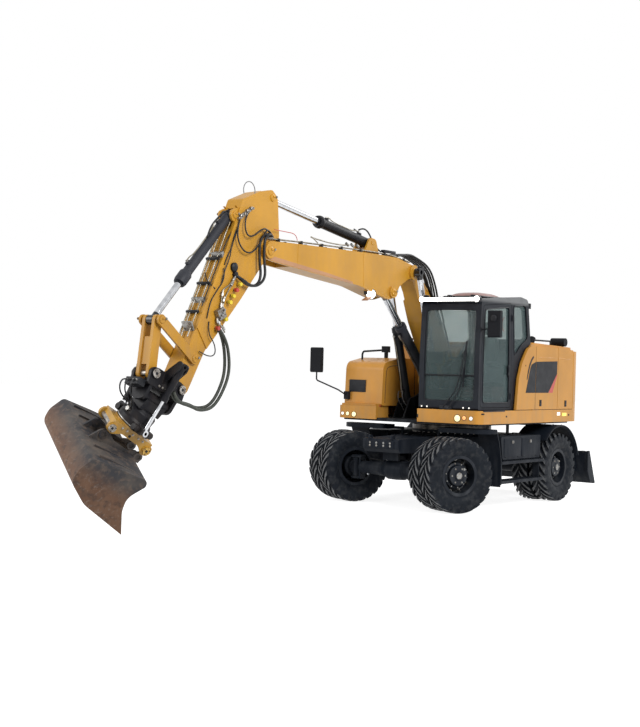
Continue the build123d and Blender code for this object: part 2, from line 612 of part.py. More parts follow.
def cab_door():
    """Door frame as thick as the cab wall, hinged at its rear edge."""
    y1 = CAB_Y[1]
    frame = side_plate(DOOR_SIDE, y1 - 50, y1)
    return (Part() + frame) - side_plate(DOOR_GLASS, y1 - 60, y1 + 10)


def door_glass():
    """Door pane in the frame's opening."""
    y1 = CAB_Y[1]
    return Part() + [side_prism(inset(DOOR_GLASS, 4), y1 - 26, y1 - 18)]


def operator_station():
    """Sprung chair, both consoles, the steering column and its wheel, bolted to the cab floor."""
    centre = (CAB_Y[0] + CAB_Y[1]) / 2
    floor = CAB_FLOOR_Z + 50
    base = block(420, 760, centre - 200, centre + 200, floor, floor + 350)
    cushion = side_plate([(340, 1800, 30), (850, 1815, 40), (870, 1920, 30), (340, 1890, 30)],
                         centre - 250, centre + 250)
    back = side_plate([(335, 1860, 40), (200, 2480, 60), (290, 2520, 40), (420, 2380, 100), (470, 1900, 60)],
                      centre - 240, centre + 240)
    head = side_plate([(205, 2500, 20), (170, 2690, 30), (250, 2700, 30), (300, 2500, 20)],
                      centre - 130, centre + 130)
    consoles = [side_plate([(350, 1800), (860, 1800), (900, 2030, 40), (750, 2070, 40), (360, 2010)],
                           centre + y, centre + y + 110) for y in (-370, 260)]
    levers = [bar((830, centre + y, 2020), (850, centre + y, 2230), 20) for y in (-315, 315)]
    foot = block(1045, 1175, centre - 70, centre + 70, floor, floor + 30)
    column = bar((1110, centre, floor + 20), (1050, centre, 2080), 50)
    wheel = turned([(0, 140), (0, 165), (25, 165), (25, 140)], (1035, centre, 2110), (-0.24, 0, 0.97))
    hub = bar((1056, centre, 2050), (1034, centre, 2140), 30)
    spoke = bar((1032, centre - 152, 2122), (1032, centre + 152, 2122), 11)
    links = [block(400, 820, centre + y, centre + y + 90, 1810, 1860) for y in (-320, 230)]
    return joined(base, cushion, back, head, *consoles, *links, *levers) + joined(foot, column, wheel, hub, spoke)


# --- Arm ----------------------------------------------------------------------------------------


def arm_plate(points, inner, outer):
    """Plates on both sides of the arm's plane, between two distances from it."""
    return [side_plate(points, BOOM_Y + inner, BOOM_Y + outer), side_plate(points, BOOM_Y - outer, BOOM_Y - inner)]


def arm_box(points, half):
    """Box section of the arm."""
    return side_plate(points, BOOM_Y - half, BOOM_Y + half)


def along(start, end, points):
    """Side-view points given as (distance from start towards end, distance to its right, radius)."""
    length = hypot(end[0] - start[0], end[1] - start[1])
    ux, uz = (end[0] - start[0]) / length, (end[1] - start[1]) / length
    turned_points = []
    for point in points:
        place = (start[0] + ux * point[0] + uz * point[1], start[1] + uz * point[0] - ux * point[1])
        turned_points.append(place + tuple(point[2:]))
    return turned_points


def base_boom():
    """Lower boom: foot eye in the deck's tower, front lugs for the adjusting cylinder, knee eye."""
    lower = along(FOOT_PIN, KNEE_PIN, [(-110, -90, 80), (-110, 90, 80), (430, 92), (1170, 76, 300), (1500, 25),
                                       (1500, -300), (1050, -345, 500), (500, -300, 300)])
    upper = along(FOOT_PIN, KNEE_PIN, [(1350, 48), (1640, 8, 200), (1961, 20), (1990, -100), (1860, -190, 150),
                                       (1350, -325)])
    body = [arm_box(lower, 148), arm_box(upper, KNEE_HALF)]
    foot = cross_pin(FOOT_PIN, 125, BOOM_Y - 152, BOOM_Y + 152)
    knee = cross_pin(KNEE_PIN, 112, BOOM_Y - KNEE_HALF, BOOM_Y + KNEE_HALF)
    lugs = arm_plate([(180, 1900), (200, 1730), (430, 1700, 90), (560, 1790, 90), (500, 1930, 60),
                      (420, 2120)], 92, 126)
    return joined(*body, foot, knee, *lugs)


def upper_boom():
    """Upper boom: knee fork, lugs for the adjusting cylinder, box, cylinder lugs and tip fork."""
    profile = [(1110, 3400, 90), (1200, 3490, 60), (1630, 3570, 200), (2140, 3582, 600), (2990, 3572, 900),
               (4000, 3560), (4560, 3545, 60), (4715, 3470, 90), (4700, 3330, 90), (4480, 3290, 60),
               (3320, 3180, 900), (2565, 3110, 900), (2040, 3000, 80), (1830, 2960, 80), (1620, 3010, 90),
               (1570, 3160, 100), (1320, 3290, 60), (1170, 3290, 90)]
    body = joined(arm_box(profile, BOX_HALF))
    knee_slot = arm_box([(950, 3100), (1330, 3150), (1450, 3330), (1440, 3480), (1330, 3620), (950, 3620)], FORK_GAP)
    adjust_slot = arm_box([(1500, 2900), (2000, 2900), (1990, 3060), (1900, 3230), (1600, 3230), (1450, 3150)], 100)
    tip_slot = arm_box([(4100, 3100), (4800, 3100), (4800, 3700), (4100, 3700)], FORK_GAP)
    body = body - [knee_slot, adjust_slot, tip_slot]
    doublers = []
    for pin, radius in ((KNEE_PIN, 108), (ADJUST_EYE, 82), (TIP_PIN, 98)):
        for side in (-1, 1):
            doublers.append(cross_pin(pin, radius, BOOM_Y + side * (BOX_HALF - 5), BOOM_Y + side * 190))
    lugs = arm_plate([(2020, 3540), (2120, 3790, 70), (2270, 3810, 70), (2420, 3540)], 84, 112)
    return joined(body, *doublers, *lugs)


def stick():
    """Stick: box with the cylinder fork at its heel, lugs for the bucket cylinder and the nose eye."""
    profile = [(4335, 3600, 90), (4385, 4110, 110), (4500, 4200, 70), (4740, 4150, 150), (5075, 4020, 60),
               (5375, 3360, 300), (5990, 2160, 300), (6255, 1700, 110), (6130, 1540, 100), (5990, 1640, 90),
               (5700, 2130, 300), (5060, 2790, 500), (4640, 3265, 80)]
    body = joined(arm_box(profile, STICK_HALF))
    slot = arm_box([(4250, 4400), (4640, 4400), (4640, 4060), (4560, 3900), (4440, 3790), (4250, 3790)], 52)
    barrel_slot = arm_box([(5060, 3760), (5110, 3900), (5260, 3900), (5560, 3560), (5400, 3430), (5230, 3650)], 78)
    nose_trim = arm_plate([(5850, 2400), (6500, 1900), (6200, 1400), (5800, 1500), (5640, 2100)], NOSE_HALF, 200)
    body = body - [slot, barrel_slot, *nose_trim]
    lugs = arm_plate([(5060, 4000), (5130, 3880, 60), (5160, 3905, 60), (5285, 3850, 60), (5260, 3740, 60),
                      (5150, 3700)], 78, 108)
    nose = cross_pin(NOSE_PIN, 100, BOOM_Y - NOSE_HALF, BOOM_Y + NOSE_HALF)
    heel = cross_pin(TIP_PIN, 115, BOOM_Y - STICK_HALF, BOOM_Y + STICK_HALF)
    return joined(body, nose, heel, *lugs)


def strap(p, q, radius_p, radius_q):
    """Flat link outline round two pins, as side-view points."""
    length = hypot(q[0] - p[0], q[1] - p[1])
    return along(p, q, [(-radius_p, -radius_p, radius_p * 0.95), (-radius_p, radius_p, radius_p * 0.95),
                        (length + radius_q, radius_q, radius_q * 0.95),
                        (length + radius_q, -radius_q, radius_q * 0.95)])


def guide_levers():
    """Pair of guide levers from the stick to the top of the bucket link."""
    levers = arm_plate(strap(LEVER_PIN, CURL_EYE, 62, 62), 128, 156)
    return Part() + levers


def bucket_link():
    """Bucket link: forked at the cylinder, one wide eye at the coupler."""
    cheeks = arm_plate(strap(CURL_EYE, COUPLER_PIN, 60, 66), 54, 98)
    web = arm_box(along(CURL_EYE, COUPLER_PIN, [(200, -45), (200, 45), (520, 45), (520, -45)]), 60)
    return joined(*cheeks, web)


# --- Tool ---------------------------------------------------------------------------------------

PIN_MIDDLE = ((NOSE_PIN[0] + COUPLER_PIN[0]) / 2, (NOSE_PIN[1] + COUPLER_PIN[1]) / 2)
PIN_SPAN = hypot(COUPLER_PIN[0] - NOSE_PIN[0], COUPLER_PIN[1] - NOSE_PIN[1])
PIN_LINE = Vector(COUPLER_PIN[0] - NOSE_PIN[0], 0, COUPLER_PIN[1] - NOSE_PIN[1]).normalized()
COUPLER_PLANE = Plane(origin=(PIN_MIDDLE[0], BOOM_Y, PIN_MIDDLE[1]), x_dir=PIN_LINE,
                      z_dir=PIN_LINE.cross(Vector(0, 1, 0)))
COUPLER = COUPLER_PLANE.location
TILTED = COUPLER * Pos(0, 0, -TILT_DROP) * Rot(-TILT_DEG, 0, 0)
TURNED = TILTED * Rot(0, 0, -TURN_DEG)

# Tilt cylinders in the coupler's cross plane: pins (y, z) from the tilt axis with no tilt
TILT_UPPER = (320, 420)
TILT_LOWER = (275, -315)
TILT_X = 20
TILT_SPEC = dict(barrel=460, outer=42, rod=22, inside=0, base_half=38, half=38)
TILT_ROD = 465


def coupler_head():
    """Tilt hitch: ears round both pins, base plate, tilt lugs and arms for the tilt cylinders."""
    half = PIN_SPAN / 2
    ear = [(-half - 80, 60, 70), (-half + 40, 80, 60), (half - 40, 80, 60), (half + 75, 60, 65),
           (half + 65, -145), (-half - 70, -145)]
    ears = [side_plate(ear, 116, 150), side_plate(ear, -150, -116)]
    base = block(-half - 60, half + 60, -150, 150, -145, -114)
    lugs = []
    for x in (-255, 207):
        lugs.append(front_plate([(-145, -120), (-82, -TILT_DROP - 82, 78), (82, -TILT_DROP - 82, 78), (145, -120)],
                                x, x + 48))
    arms = []
    top = TILT_UPPER[1] - TILT_DROP
    for side in (-1, 1):
        for x in (TILT_X - 64, TILT_X + 44):
            arms.append(front_plate([(side * 116, -100), (side * 116, 78), (side * (TILT_UPPER[0] - 20), top + 48, 40),
                                     (side * (TILT_UPPER[0] + 48), top + 30, 45),
                                     (side * (TILT_UPPER[0] + 30), top - 50, 40)], x, x + 20))
    collars = [bar((x, y, 0), (x, y + 18, 0), 58) for x in (-half, half) for y in (-168, 150)]
    recess = block(half - 60, half + 70, -105, 105, -135, -100)
    return COUPLER * (joined(*ears, base, *lugs, *arms, *collars) - recess)


def rotator_housing():
    """Tilting body: hinge barrel between the hitch's lugs, rotor housing and cylinder horns."""
    hinge = bar((-202, 0, 0), (202, 0, 0), 76)
    neck = block(-170, 170, -100, 100, -140, 0)
    housing = turned([(-366, 0), (-366, 215), (-290, 215, 20), (-262, 190), (-170, 186, 30), (-125, 140, 20),
                      (-125, 0)], (0, 0, 0), (0, 0, 1))
    horns = []
    for side in (-1, 1):
        for x in (TILT_X - 64, TILT_X + 44):
            horns.append(front_plate([(side * 130, -275), (side * 245, TILT_LOWER[1] + 46, 30),
                                      (side * (TILT_LOWER[0] + 46), TILT_LOWER[1] + 46, 44),
                                      (side * (TILT_LOWER[0] + 46), TILT_LOWER[1] - 46, 44),
                                      (side * 130, -363)], x, x + 20))
    return TILTED * joined(hinge, neck, housing, *horns)


def tilt_cylinder(side):
    """Frame of one tilt cylinder and its pins' distance at the stored tilt."""
    up = Vector(TILT_X, side * TILT_UPPER[0], TILT_UPPER[1] - TILT_DROP)
    c, s = cos(radians(-TILT_DEG)), sin(radians(-TILT_DEG))
    y, z = side * TILT_LOWER[0], TILT_LOWER[1]
    low = Vector(TILT_X, y * c - z * s, y * s + z * c - TILT_DROP)
    plane = Plane(origin=up, x_dir=low - up, z_dir=(low - up).cross(Vector(1, 0, 0)))
    return plane, (low - up).length


def tilt_barrel(side):
    """Barrel of one tilt cylinder, its eyes turned to the tilt axis."""
    plane, length = tilt_cylinder(side)
    return COUPLER * (plane * Rot(90, 0, 0) * barrel_body(TILT_SPEC))


def tilt_rod(side):
    """Rod of one tilt cylinder."""
    plane, length = tilt_cylinder(side)
    spec = dict(TILT_SPEC, inside=TILT_SPEC["barrel"] + TILT_ROD - length)
    return COUPLER * (plane * Rot(90, 0, 0) * rod_body(spec, length))


def rotor_coupler():
    """Rotor flange and the lower quick coupler: side plates, hook, lock housing and pin bosses."""
    flange = turned([(-372, 0), (-372, 225), (-400, 225), (-400, 0)], (0, 0, 0), (0, 0, 1))
    side = [(-230, -395), (-330, -440, 40), (-335, -545, 50), (-250, -570, 40), (-160, -500, 60), (120, -490, 60),
            (230, -560, 60), (330, -540, 50), (335, -430, 60), (230, -395)]
    sides = [side_plate(side, -190, -158), side_plate(side, 158, 190)]
    top = block(-290, 290, -190, 190, -432, -395)
    wedge = block(120, 290, -158, 158, -470, -430)
    hook = side_plate([(-290, -425), (-320, -530, 40), (-200, -540, 30), (-210, -425)], -158, 158)
    bosses = [bar((x, y, -490), (x, y + 16, -490), 58) for x in (-272, 272) for y in (-206, 190)]
    return TURNED * joined(flange, *sides, top, wedge, hook, *bosses)


BUCKET_SIDE = [(490, -760, 60), (540, -960, 200), (500, -1120, 150), (190, -1260, 400), (-452, -1328),
               (-245, -1090, 300), (-175, -930, 200), (-262, -705, 40), (-230, -635, 60), (120, -690, 400)]
BUCKET_HOLLOW = [(455, -770, 60), (510, -960, 180), (473, -1102, 130), (180, -1232, 380), (-480, -1306),
                 (-620, -1070), (-420, -660), (-235, -660), (120, -720, 400)]


def bucket():
    """Ditching bucket: rolled shell, two cheeks, lip plate and the pin ears on top."""
    half = BUCKET_W / 2
    shell = joined(side_plate(BUCKET_SIDE, -half, half)) - side_plate(BUCKET_HOLLOW, -half + 22, half - 22)
    ears = []
    for y0 in (-152, 124):
        ears.append(side_plate([(-330, -680), (-330, -580, 50), (-200, -570, 50), (-100, -620, 60), (100, -620, 60),
                                (200, -575, 50), (330, -575, 50), (400, -750)], y0, y0 + 28))
    return TURNED * joined(shell, *ears)


# --- Rails, mirrors, lamps and exhaust ----------------------------------------------------------


def mirrors():
    """Both rear-view mirrors on bent arms and the hand rail on the tank box."""
    rail = bent_bar([(900, -1080, 2106), (900, -1080, 2230), (250, -1080, 2270), (250, -1080, 2142)], 15, 60)
    right_foot = block(1152, 1210, -1190, -1110, 1500, 1620)
    right_arm = bent_bar([(1200, -1150, 1560), (1340, -1200, 1640), (1575, -1440, 1780), (1575, -1440, 2150)],
                         11, 40)
    right = side_plate([(1540, 1890, 28), (1610, 1900, 28), (1610, 2270, 28), (1540, 2270, 28)], -1540, -1345)
    left_foot = block(1232, 1275, 1181, 1196, 2530, 2590)
    left_arm = bent_bar([(1254, 1188, 2560), (1256, 1340, 2580), (1258, 1340, 2700)], 11, 30)
    left = side_plate([(1225, 2450, 28), (1290, 2450, 28), (1290, 2830, 28), (1225, 2830, 28)], 1300, 1500)
    return joined(right_foot, right_arm, right) + [rail, joined(left_foot, left_arm, left)]


def work_lamps():
    """Lamp bar over the windscreen, lamp on the tank box and lamp behind the cab roof."""
    lamp_bar = side_plate([(1275, 2960, 15), (1335, 2955, 20), (1335, 3020, 25), (1275, 3025, 15)], 215, 1160)
    feet = [block(1185, 1290, y, y + 40, 2997, 3014) for y in (300, 1035)]
    tank = joined(block(625, 675, -830, -790, 2140, 2230), block(615, 690, -870, -760, 2225, 2320))
    rear = joined(block(-240, -155, 1080, 1110, 2960, 2985), block(-300, -230, 1050, 1140, 2930, 3010))
    return joined(lamp_bar, *feet) + [tank, rear]


def hood_fittings():
    """Rails, exhaust outlet and intake drum carried by the engine cover."""
    rails = []
    for y in (-1105, 1105):
        rails.append(bent_bar([(-480, y, 2420), (-480, y, 2468), (-1040, y, 2468), (-1040, y, 2402)], 13, 30))
    outlet = joined(bar((-1160, 700, 2403), (-1160, 700, 2440), 55), bar((-1160, 700, 2430), (-1230, 700, 2520), 50))
    drum = bar((-1540, 880, 2466), (-1540, 1120, 2466), 66)
    foot = block(-1560, -1510, 920, 1080, 2388, 2420)
    return outlet + [joined(drum, foot), *rails]


# --- Write the nodes ----------------------------------------------------------------------------

NODES = {
    "chassis_frame": chassis_frame(),
    "slew_ring": slew_ring(),
    "front_axle": front_axle(),
    "rear_axle": rear_axle(),
    "drive_shaft": drive_shaft(),
    "mudguards": mudguards(),
    "toolboxes": toolboxes(),
    "steering_rod": steering_rod(),
    "knuckle_left": knuckle(1),
    "knuckle_right": knuckle(-1),
    "tyres_front_left": tyres(True, 1),
    "tyres_front_right": tyres(True, -1),
    "tyres_rear_left": tyres(False, 1),
    "tyres_rear_right": tyres(False, -1),
    "rims_front_left": rims(True, 1),
    "rims_front_right": rims(True, -1),
    "rims_rear_left": rims(False, 1),
    "rims_rear_right": rims(False, -1),
    "blade": blade(),
    "blade_barrels": barrels("blade"),
    "blade_rods": rods("blade"),
    "upper_frame": upper_frame(),
    "skirt_panels": skirt_panels(),
    "counterweight": counterweight(),
    "body_panels": body_panels(),
    "service_door_front": service_door(COVER_LINES[0] - 5, COVER_LINES[1] + 5),
    "service_door_rear": service_door(COVER_LINES[1] - 5, REAR_COVER_X),
    "engine_hood": engine_hood(),
    "engine_block": engine_block(),
    "tank_box": tank_box(),
    "cab_frame": cab_frame(),
    "cab_glass": cab_glass(),
    "cab_door": cab_door(),
    "door_glass": door_glass(),
    "operator_station": operator_station(),
    "base_boom": base_boom(),
    "lift_barrels": barrels("lift"),
    "lift_rods": rods("lift"),
    "upper_boom": upper_boom(),
    "adjust_barrel": barrels("adjust"),
    "adjust_rod": rods("adjust"),
    "stick_barrel": barrels("stick"),
    "stick_rod": rods("stick"),
    "stick": stick(),
    "bucket_barrel": barrels("curl"),
    "bucket_rod": rods("curl"),
    "guide_levers": guide_levers(),
    "bucket_link": bucket_link(),
    "coupler_head": coupler_head(),
    "rotator_housing": rotator_housing(),
    "tilt_barrel_left": tilt_barrel(1),
    "tilt_barrel_right": tilt_barrel(-1),
    "tilt_rod_left": tilt_rod(1),
    "tilt_rod_right": tilt_rod(-1),
    "rotor_coupler": rotor_coupler(),
    "bucket": bucket(),
    "hood_fittings": hood_fittings(),
    "mirrors": mirrors(),
    "work_lamps": work_lamps(),
}

os.makedirs("parts", exist_ok=True)
for node, shape in NODES.items():
    export_step(shape, f"parts/{node}.step")
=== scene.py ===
"""Looks of a wheeled excavator with a two-piece boom, a tilting and turning coupler and a ditching bucket.

Metres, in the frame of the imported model: +X forward, +Y left, +Z up, the origin on the ground under the
middle of the slewing ring. The file follows the machine from the wheels up, one section for each piece.
"""

import json
import math

import bmesh
import bpy
from mathutils import Matrix, Vector


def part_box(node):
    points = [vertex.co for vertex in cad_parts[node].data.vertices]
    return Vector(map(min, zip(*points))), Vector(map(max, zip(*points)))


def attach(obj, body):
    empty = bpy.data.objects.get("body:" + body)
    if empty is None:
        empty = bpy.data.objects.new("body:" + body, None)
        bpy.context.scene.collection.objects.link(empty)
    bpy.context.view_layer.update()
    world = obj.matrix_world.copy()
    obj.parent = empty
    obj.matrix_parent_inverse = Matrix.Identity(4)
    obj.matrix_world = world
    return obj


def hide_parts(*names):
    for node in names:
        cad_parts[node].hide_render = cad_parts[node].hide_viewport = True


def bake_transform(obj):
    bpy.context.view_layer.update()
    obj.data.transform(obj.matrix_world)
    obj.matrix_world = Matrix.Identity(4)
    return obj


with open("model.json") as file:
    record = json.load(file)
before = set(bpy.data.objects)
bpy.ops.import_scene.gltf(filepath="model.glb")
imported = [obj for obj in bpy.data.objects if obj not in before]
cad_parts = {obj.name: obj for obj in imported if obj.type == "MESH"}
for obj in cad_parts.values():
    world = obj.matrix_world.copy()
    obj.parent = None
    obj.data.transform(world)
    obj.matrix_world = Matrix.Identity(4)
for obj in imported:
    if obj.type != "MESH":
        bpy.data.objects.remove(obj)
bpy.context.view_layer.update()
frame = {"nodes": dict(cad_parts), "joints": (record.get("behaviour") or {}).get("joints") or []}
nodes = frame["nodes"]

# --- Camera, light and floor --------------------------------------------------------------------
# A pale studio: white floor and surround, a wide soft lamp high on the machine's left front and a weak
# one opposite. The camera stands ahead of the machine and to its left, about two metres up.

scene = bpy.context.scene
scene.view_settings.view_transform = "Standard"

EYE = Vector((17.80, 10.567, 1.968))
AIM = Vector((0.0, -2.542, 2.033))
ROLL = 0.0267
FOCAL_IN_WIDTHS = 1343.5 / 727

forward = (AIM - EYE).normalized()
level = forward.cross(Vector((0, 0, 1))).normalized()
across = level * math.cos(ROLL) + level.cross(forward) * math.sin(ROLL)
camera_data = bpy.data.cameras.new("camera")
camera_data.lens = camera_data.sensor_width * FOCAL_IN_WIDTHS
camera_data.clip_end = 200
camera = bpy.data.objects.new("camera", camera_data)
camera.matrix_world = Matrix.Translation(EYE) @ Matrix((across, across.cross(forward),
                                                        -forward)).transposed().to_4x4()
scene.collection.objects.link(camera)
scene.camera = camera


def soft_lamp(name, place, size, power):
    """Square lamp that looks at the middle of the machine."""
    data = bpy.data.lights.new(name, "AREA")
    data.size = size
    data.energy = power
    lamp = bpy.data.objects.new(name, data)
    lamp.location = place
    lamp.rotation_euler = (Vector((1, 0, 1.5)) - Vector(place)).to_track_quat("-Z", "Y").to_euler()
    scene.collection.objects.link(lamp)


soft_lamp("key_lamp", (7, 12, 9), 5, 1500)
soft_lamp("fill_lamp", (13, -6, 6), 6, 500)
soft_lamp("rear_lamp", (-9, 3, 8), 6, 500)


def seen_directly(tree):
    """Socket that is 1 for rays that show a surface to the eye, in a mirror or through glass."""
    path = tree.nodes.new("ShaderNodeLightPath")
    total = path.outputs["Is Camera Ray"]
    for ray in ("Is Glossy Ray", "Is Transmission Ray"):
        add = tree.nodes.new("ShaderNodeMath")
        add.operation = "MAXIMUM"
        tree.links.new(total, add.inputs[0])
        tree.links.new(path.outputs[ray], add.inputs[1])
        total = add.outputs[0]
    return total


LIGHT_ON_MACHINE = 0.55
WHITE = 1.0
FLOOR_GLOW = 0.85
FLOOR_REACH = 70

world = bpy.data.worlds.new("studio")
world.use_nodes = True
scene.world = world
surround = world.node_tree.nodes["Background"]
surround.inputs["Color"].default_value = (1, 1, 1, 1)
level_of = world.node_tree.nodes.new("ShaderNodeMapRange")
level_of.inputs["To Min"].default_value = LIGHT_ON_MACHINE
level_of.inputs["To Max"].default_value = WHITE
world.node_tree.links.new(seen_directly(world.node_tree), level_of.inputs["Value"])
world.node_tree.links.new(level_of.outputs["Result"], surround.inputs["Strength"])

floor_paint = bpy.data.materials.new("floor_white")
floor_paint.use_nodes = True
floor_tree = floor_paint.node_tree
floor_shader = floor_tree.nodes["Principled BSDF"]
floor_shader.inputs["Base Color"].default_value = (0.5, 0.5, 0.5, 1)
floor_shader.inputs["Roughness"].default_value = 0.9
floor_shader.inputs["Specular IOR Level"].default_value = 0.0
floor_shader.inputs["Emission Color"].default_value = (1, 1, 1, 1)
glow = floor_tree.nodes.new("ShaderNodeMath")
glow.operation = "MULTIPLY"
glow.inputs[1].default_value = FLOOR_GLOW
floor_tree.links.new(seen_directly(floor_tree), glow.inputs[0])
floor_tree.links.new(glow.outputs[0], floor_shader.inputs["Emission Strength"])

floor_mesh = bpy.data.meshes.new("floor")
floor_corners = [(x * FLOOR_REACH, y * FLOOR_REACH, 0) for x, y in ((-1, -1), (1, -1), (1, 1), (-1, 1))]
floor_mesh.from_pydata(floor_corners, [], [(0, 1, 2, 3)])
floor_mesh.materials.append(floor_paint)
floor = bpy.data.objects.new("floor", floor_mesh)
scene.collection.objects.link(floor)

# --- Chassis ------------------------------------------------------------------------------------
# The carrier is welded from plate and sprayed blue-black. Road film has dried grey on it, most of all
# low down, and the paint has rubbed thin. The drive line and the knuckles wear the same enamel.


def mixed(tree, first, second, share):
    """Colour socket between two colours or sockets."""
    mix = tree.nodes.new("ShaderNodeMix")
    mix.data_type = "RGBA"
    for socket, value in ((mix.inputs["A"], first), (mix.inputs["B"], second)):
        if isinstance(value, tuple):
            socket.default_value = value + (1,)
        else:
            tree.links.new(value, socket)
    tree.links.new(share, mix.inputs["Factor"])
    return mix.outputs["Result"]


def blotches(tree, scale, low, high, stretch=(1, 1, 1)):
    """Noise cut to patches: 0 below low and 1 above high."""
    place = tree.nodes.new("ShaderNodeTexCoord")
    mapping = tree.nodes.new("ShaderNodeMapping")
    mapping.inputs["Scale"].default_value = stretch
    pattern = tree.nodes.new("ShaderNodeTexNoise")
    pattern.inputs["Scale"].default_value = scale
    pattern.inputs["Detail"].default_value = 5
    cut = tree.nodes.new("ShaderNodeMapRange")
    cut.inputs["From Min"].default_value = low
    cut.inputs["From Max"].default_value = high
    tree.links.new(place.outputs["Object"], mapping.inputs["Vector"])
    tree.links.new(mapping.outputs["Vector"], pattern.inputs["Vector"])
    tree.links.new(pattern.outputs["Fac"], cut.inputs["Value"])
    return cut.outputs["Result"]


def times(tree, first, second):
    """Product of two sockets or numbers."""
    product = tree.nodes.new("ShaderNodeMath")
    product.operation = "MULTIPLY"
    for socket, value in ((product.inputs[0], first), (product.inputs[1], second)):
        if isinstance(value, (int, float)):
            socket.default_value = value
        else:
            tree.links.new(value, socket)
    return product.outputs[0]


def below(tree, top, bottom):
    """1 under the bottom height, fading to 0 at the top height."""
    place = tree.nodes.new("ShaderNodeTexCoord")
    split = tree.nodes.new("ShaderNodeSeparateXYZ")
    ramp = tree.nodes.new("ShaderNodeMapRange")
    ramp.inputs["From Min"].default_value = top
    ramp.inputs["From Max"].default_value = bottom
    tree.links.new(place.outputs["Object"], split.inputs["Vector"])
    tree.links.new(split.outputs["Z"], ramp.inputs["Value"])
    return ramp.outputs["Result"]


def rough_skin(tree, shader, scale, height, distance=0.002):
    """Fine bump on the shader's normal."""
    place = tree.nodes.new("ShaderNodeTexCoord")
    pattern = tree.nodes.new("ShaderNodeTexNoise")
    pattern.inputs["Scale"].default_value = scale
    pattern.inputs["Detail"].default_value = 3
    bump = tree.nodes.new("ShaderNodeBump")
    bump.inputs["Strength"].default_value = height
    bump.inputs["Distance"].default_value = distance
    tree.links.new(place.outputs["Object"], pattern.inputs["Vector"])
    tree.links.new(pattern.outputs["Fac"], bump.inputs["Height"])
    tree.links.new(bump.outputs["Normal"], shader.inputs["Normal"])


def new_finish(name, roughness, metallic=0.0):
    """Empty finish: the material, its tree and its shader."""
    material = bpy.data.materials.new(name)
    material.use_nodes = True
    shader = material.node_tree.nodes["Principled BSDF"]
    shader.inputs["Roughness"].default_value = roughness
    shader.inputs["Metallic"].default_value = metallic
    return material, material.node_tree, shader


def paint(name, colour, roughness, film, film_share, film_top, film_low, coat=0.0, skin=0.12, shine=0.5):
    """Sprayed paint: uneven colour, a film that thickens downwards, and orange-peel skin; the film is dust,
    but on the boom's underside it is painted shade.
    """
    material, tree, shader = new_finish(name, roughness)
    shader.inputs["Specular IOR Level"].default_value = shine
    deep = tuple(c * 0.8 for c in colour)
    base = mixed(tree, deep, colour, blotches(tree, 1.7, 0.3, 0.65))
    streaks = blotches(tree, 9, 0.42, 0.72, stretch=(1, 1, 0.25))
    share = times(tree, times(tree, streaks, below(tree, film_top, film_low)), film_share)
    tree.links.new(mixed(tree, base, film, share), shader.inputs["Base Color"])
    shader.inputs["Coat Weight"].default_value = coat
    shader.inputs["Coat Roughness"].default_value = 0.12
    rough_skin(tree, shader, 240, skin)
    return material


def two_tone(name, first, second, patches, roughness, metallic=0.0, shine=0.5, coat=0.0, skin=()):
    """Finish that drifts between two colours: patches are scale, low, high, and skin is the bump's."""
    material, tree, shader = new_finish(name, roughness, metallic)
    shader.inputs["Specular IOR Level"].default_value = shine
    shader.inputs["Coat Weight"].default_value = coat
    tree.links.new(mixed(tree, first, second, blotches(tree, *patches)), shader.inputs["Base Color"])
    if skin:
        rough_skin(tree, shader, *skin)
    return material


def dress(material, *names):
    """Gives CAD nodes a finish."""
    for name in names:
        node = nodes[name]
        node.data.materials.clear()
        node.data.materials.append(material)


ROAD_FILM = (0.055, 0.060, 0.068)
chassis_enamel = paint("chassis_enamel", (0.008, 0.011, 0.017), 0.5, ROAD_FILM, 0.6, 1.3, 0.3, shine=0.1)
dress(chassis_enamel, "chassis_frame", "front_axle", "rear_axle", "drive_shaft", "knuckle_left",
      "knuckle_right", "mudguards", "toolboxes", "blade", "blade_barrels")


def sharp_by_angle(bm, degrees):
    """Smooth faces with hard edges where they meet steeper than an angle."""
    for face in bm.faces:
        face.smooth = True
    for edge in bm.edges:
        if len(edge.link_faces) == 2 and edge.calc_face_angle(0) > math.radians(degrees):
            edge.smooth = False


def mesh_object(name, bm, material, degrees):
    """Object made from a bmesh, in one finish or a list of them."""
    bmesh.ops.recalc_face_normals(bm, faces=bm.faces)
    sharp_by_angle(bm, degrees)
    mesh = bpy.data.meshes.new(name)
    bm.to_mesh(mesh)
    bm.free()
    for finish in material if isinstance(material, list) else [material]:
        mesh.materials.append(finish)
    obj = bpy.data.objects.new(name, mesh)
    scene.collection.objects.link(obj)
    return obj


def piece(name, bm, material, body, degrees=35):
    """Turns a finished bmesh into a piece that rides on a body."""
    obj = mesh_object(name, bm, material, degrees)
    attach(obj, body)
    return obj


def facing(origin, direction, up=(0, 0, 1)):
    """Matrix whose z axis points along a direction, with its y axis towards up."""
    z = Vector(direction).normalized()
    x = Vector(up).cross(z)
    if x.length < 1e-4:
        x = Vector((0, 1, 0)).cross(z)
    x.normalize()
    return Matrix.Translation(origin) @ Matrix((x, z.cross(x), z)).transposed().to_4x4()


def moved(x, y, z):
    """Matrix that shifts along x, y and z."""
    return Matrix.Translation((x, y, z))


def spun(degrees, axis):
    """Matrix that turns round one axis."""
    return Matrix.Rotation(math.radians(degrees), 4, axis)


def round_bar(radius, low, high):
    """Outline of a plain round bar for add_turned."""
    return [(0, low), (radius, low), (radius, high), (0, high)]


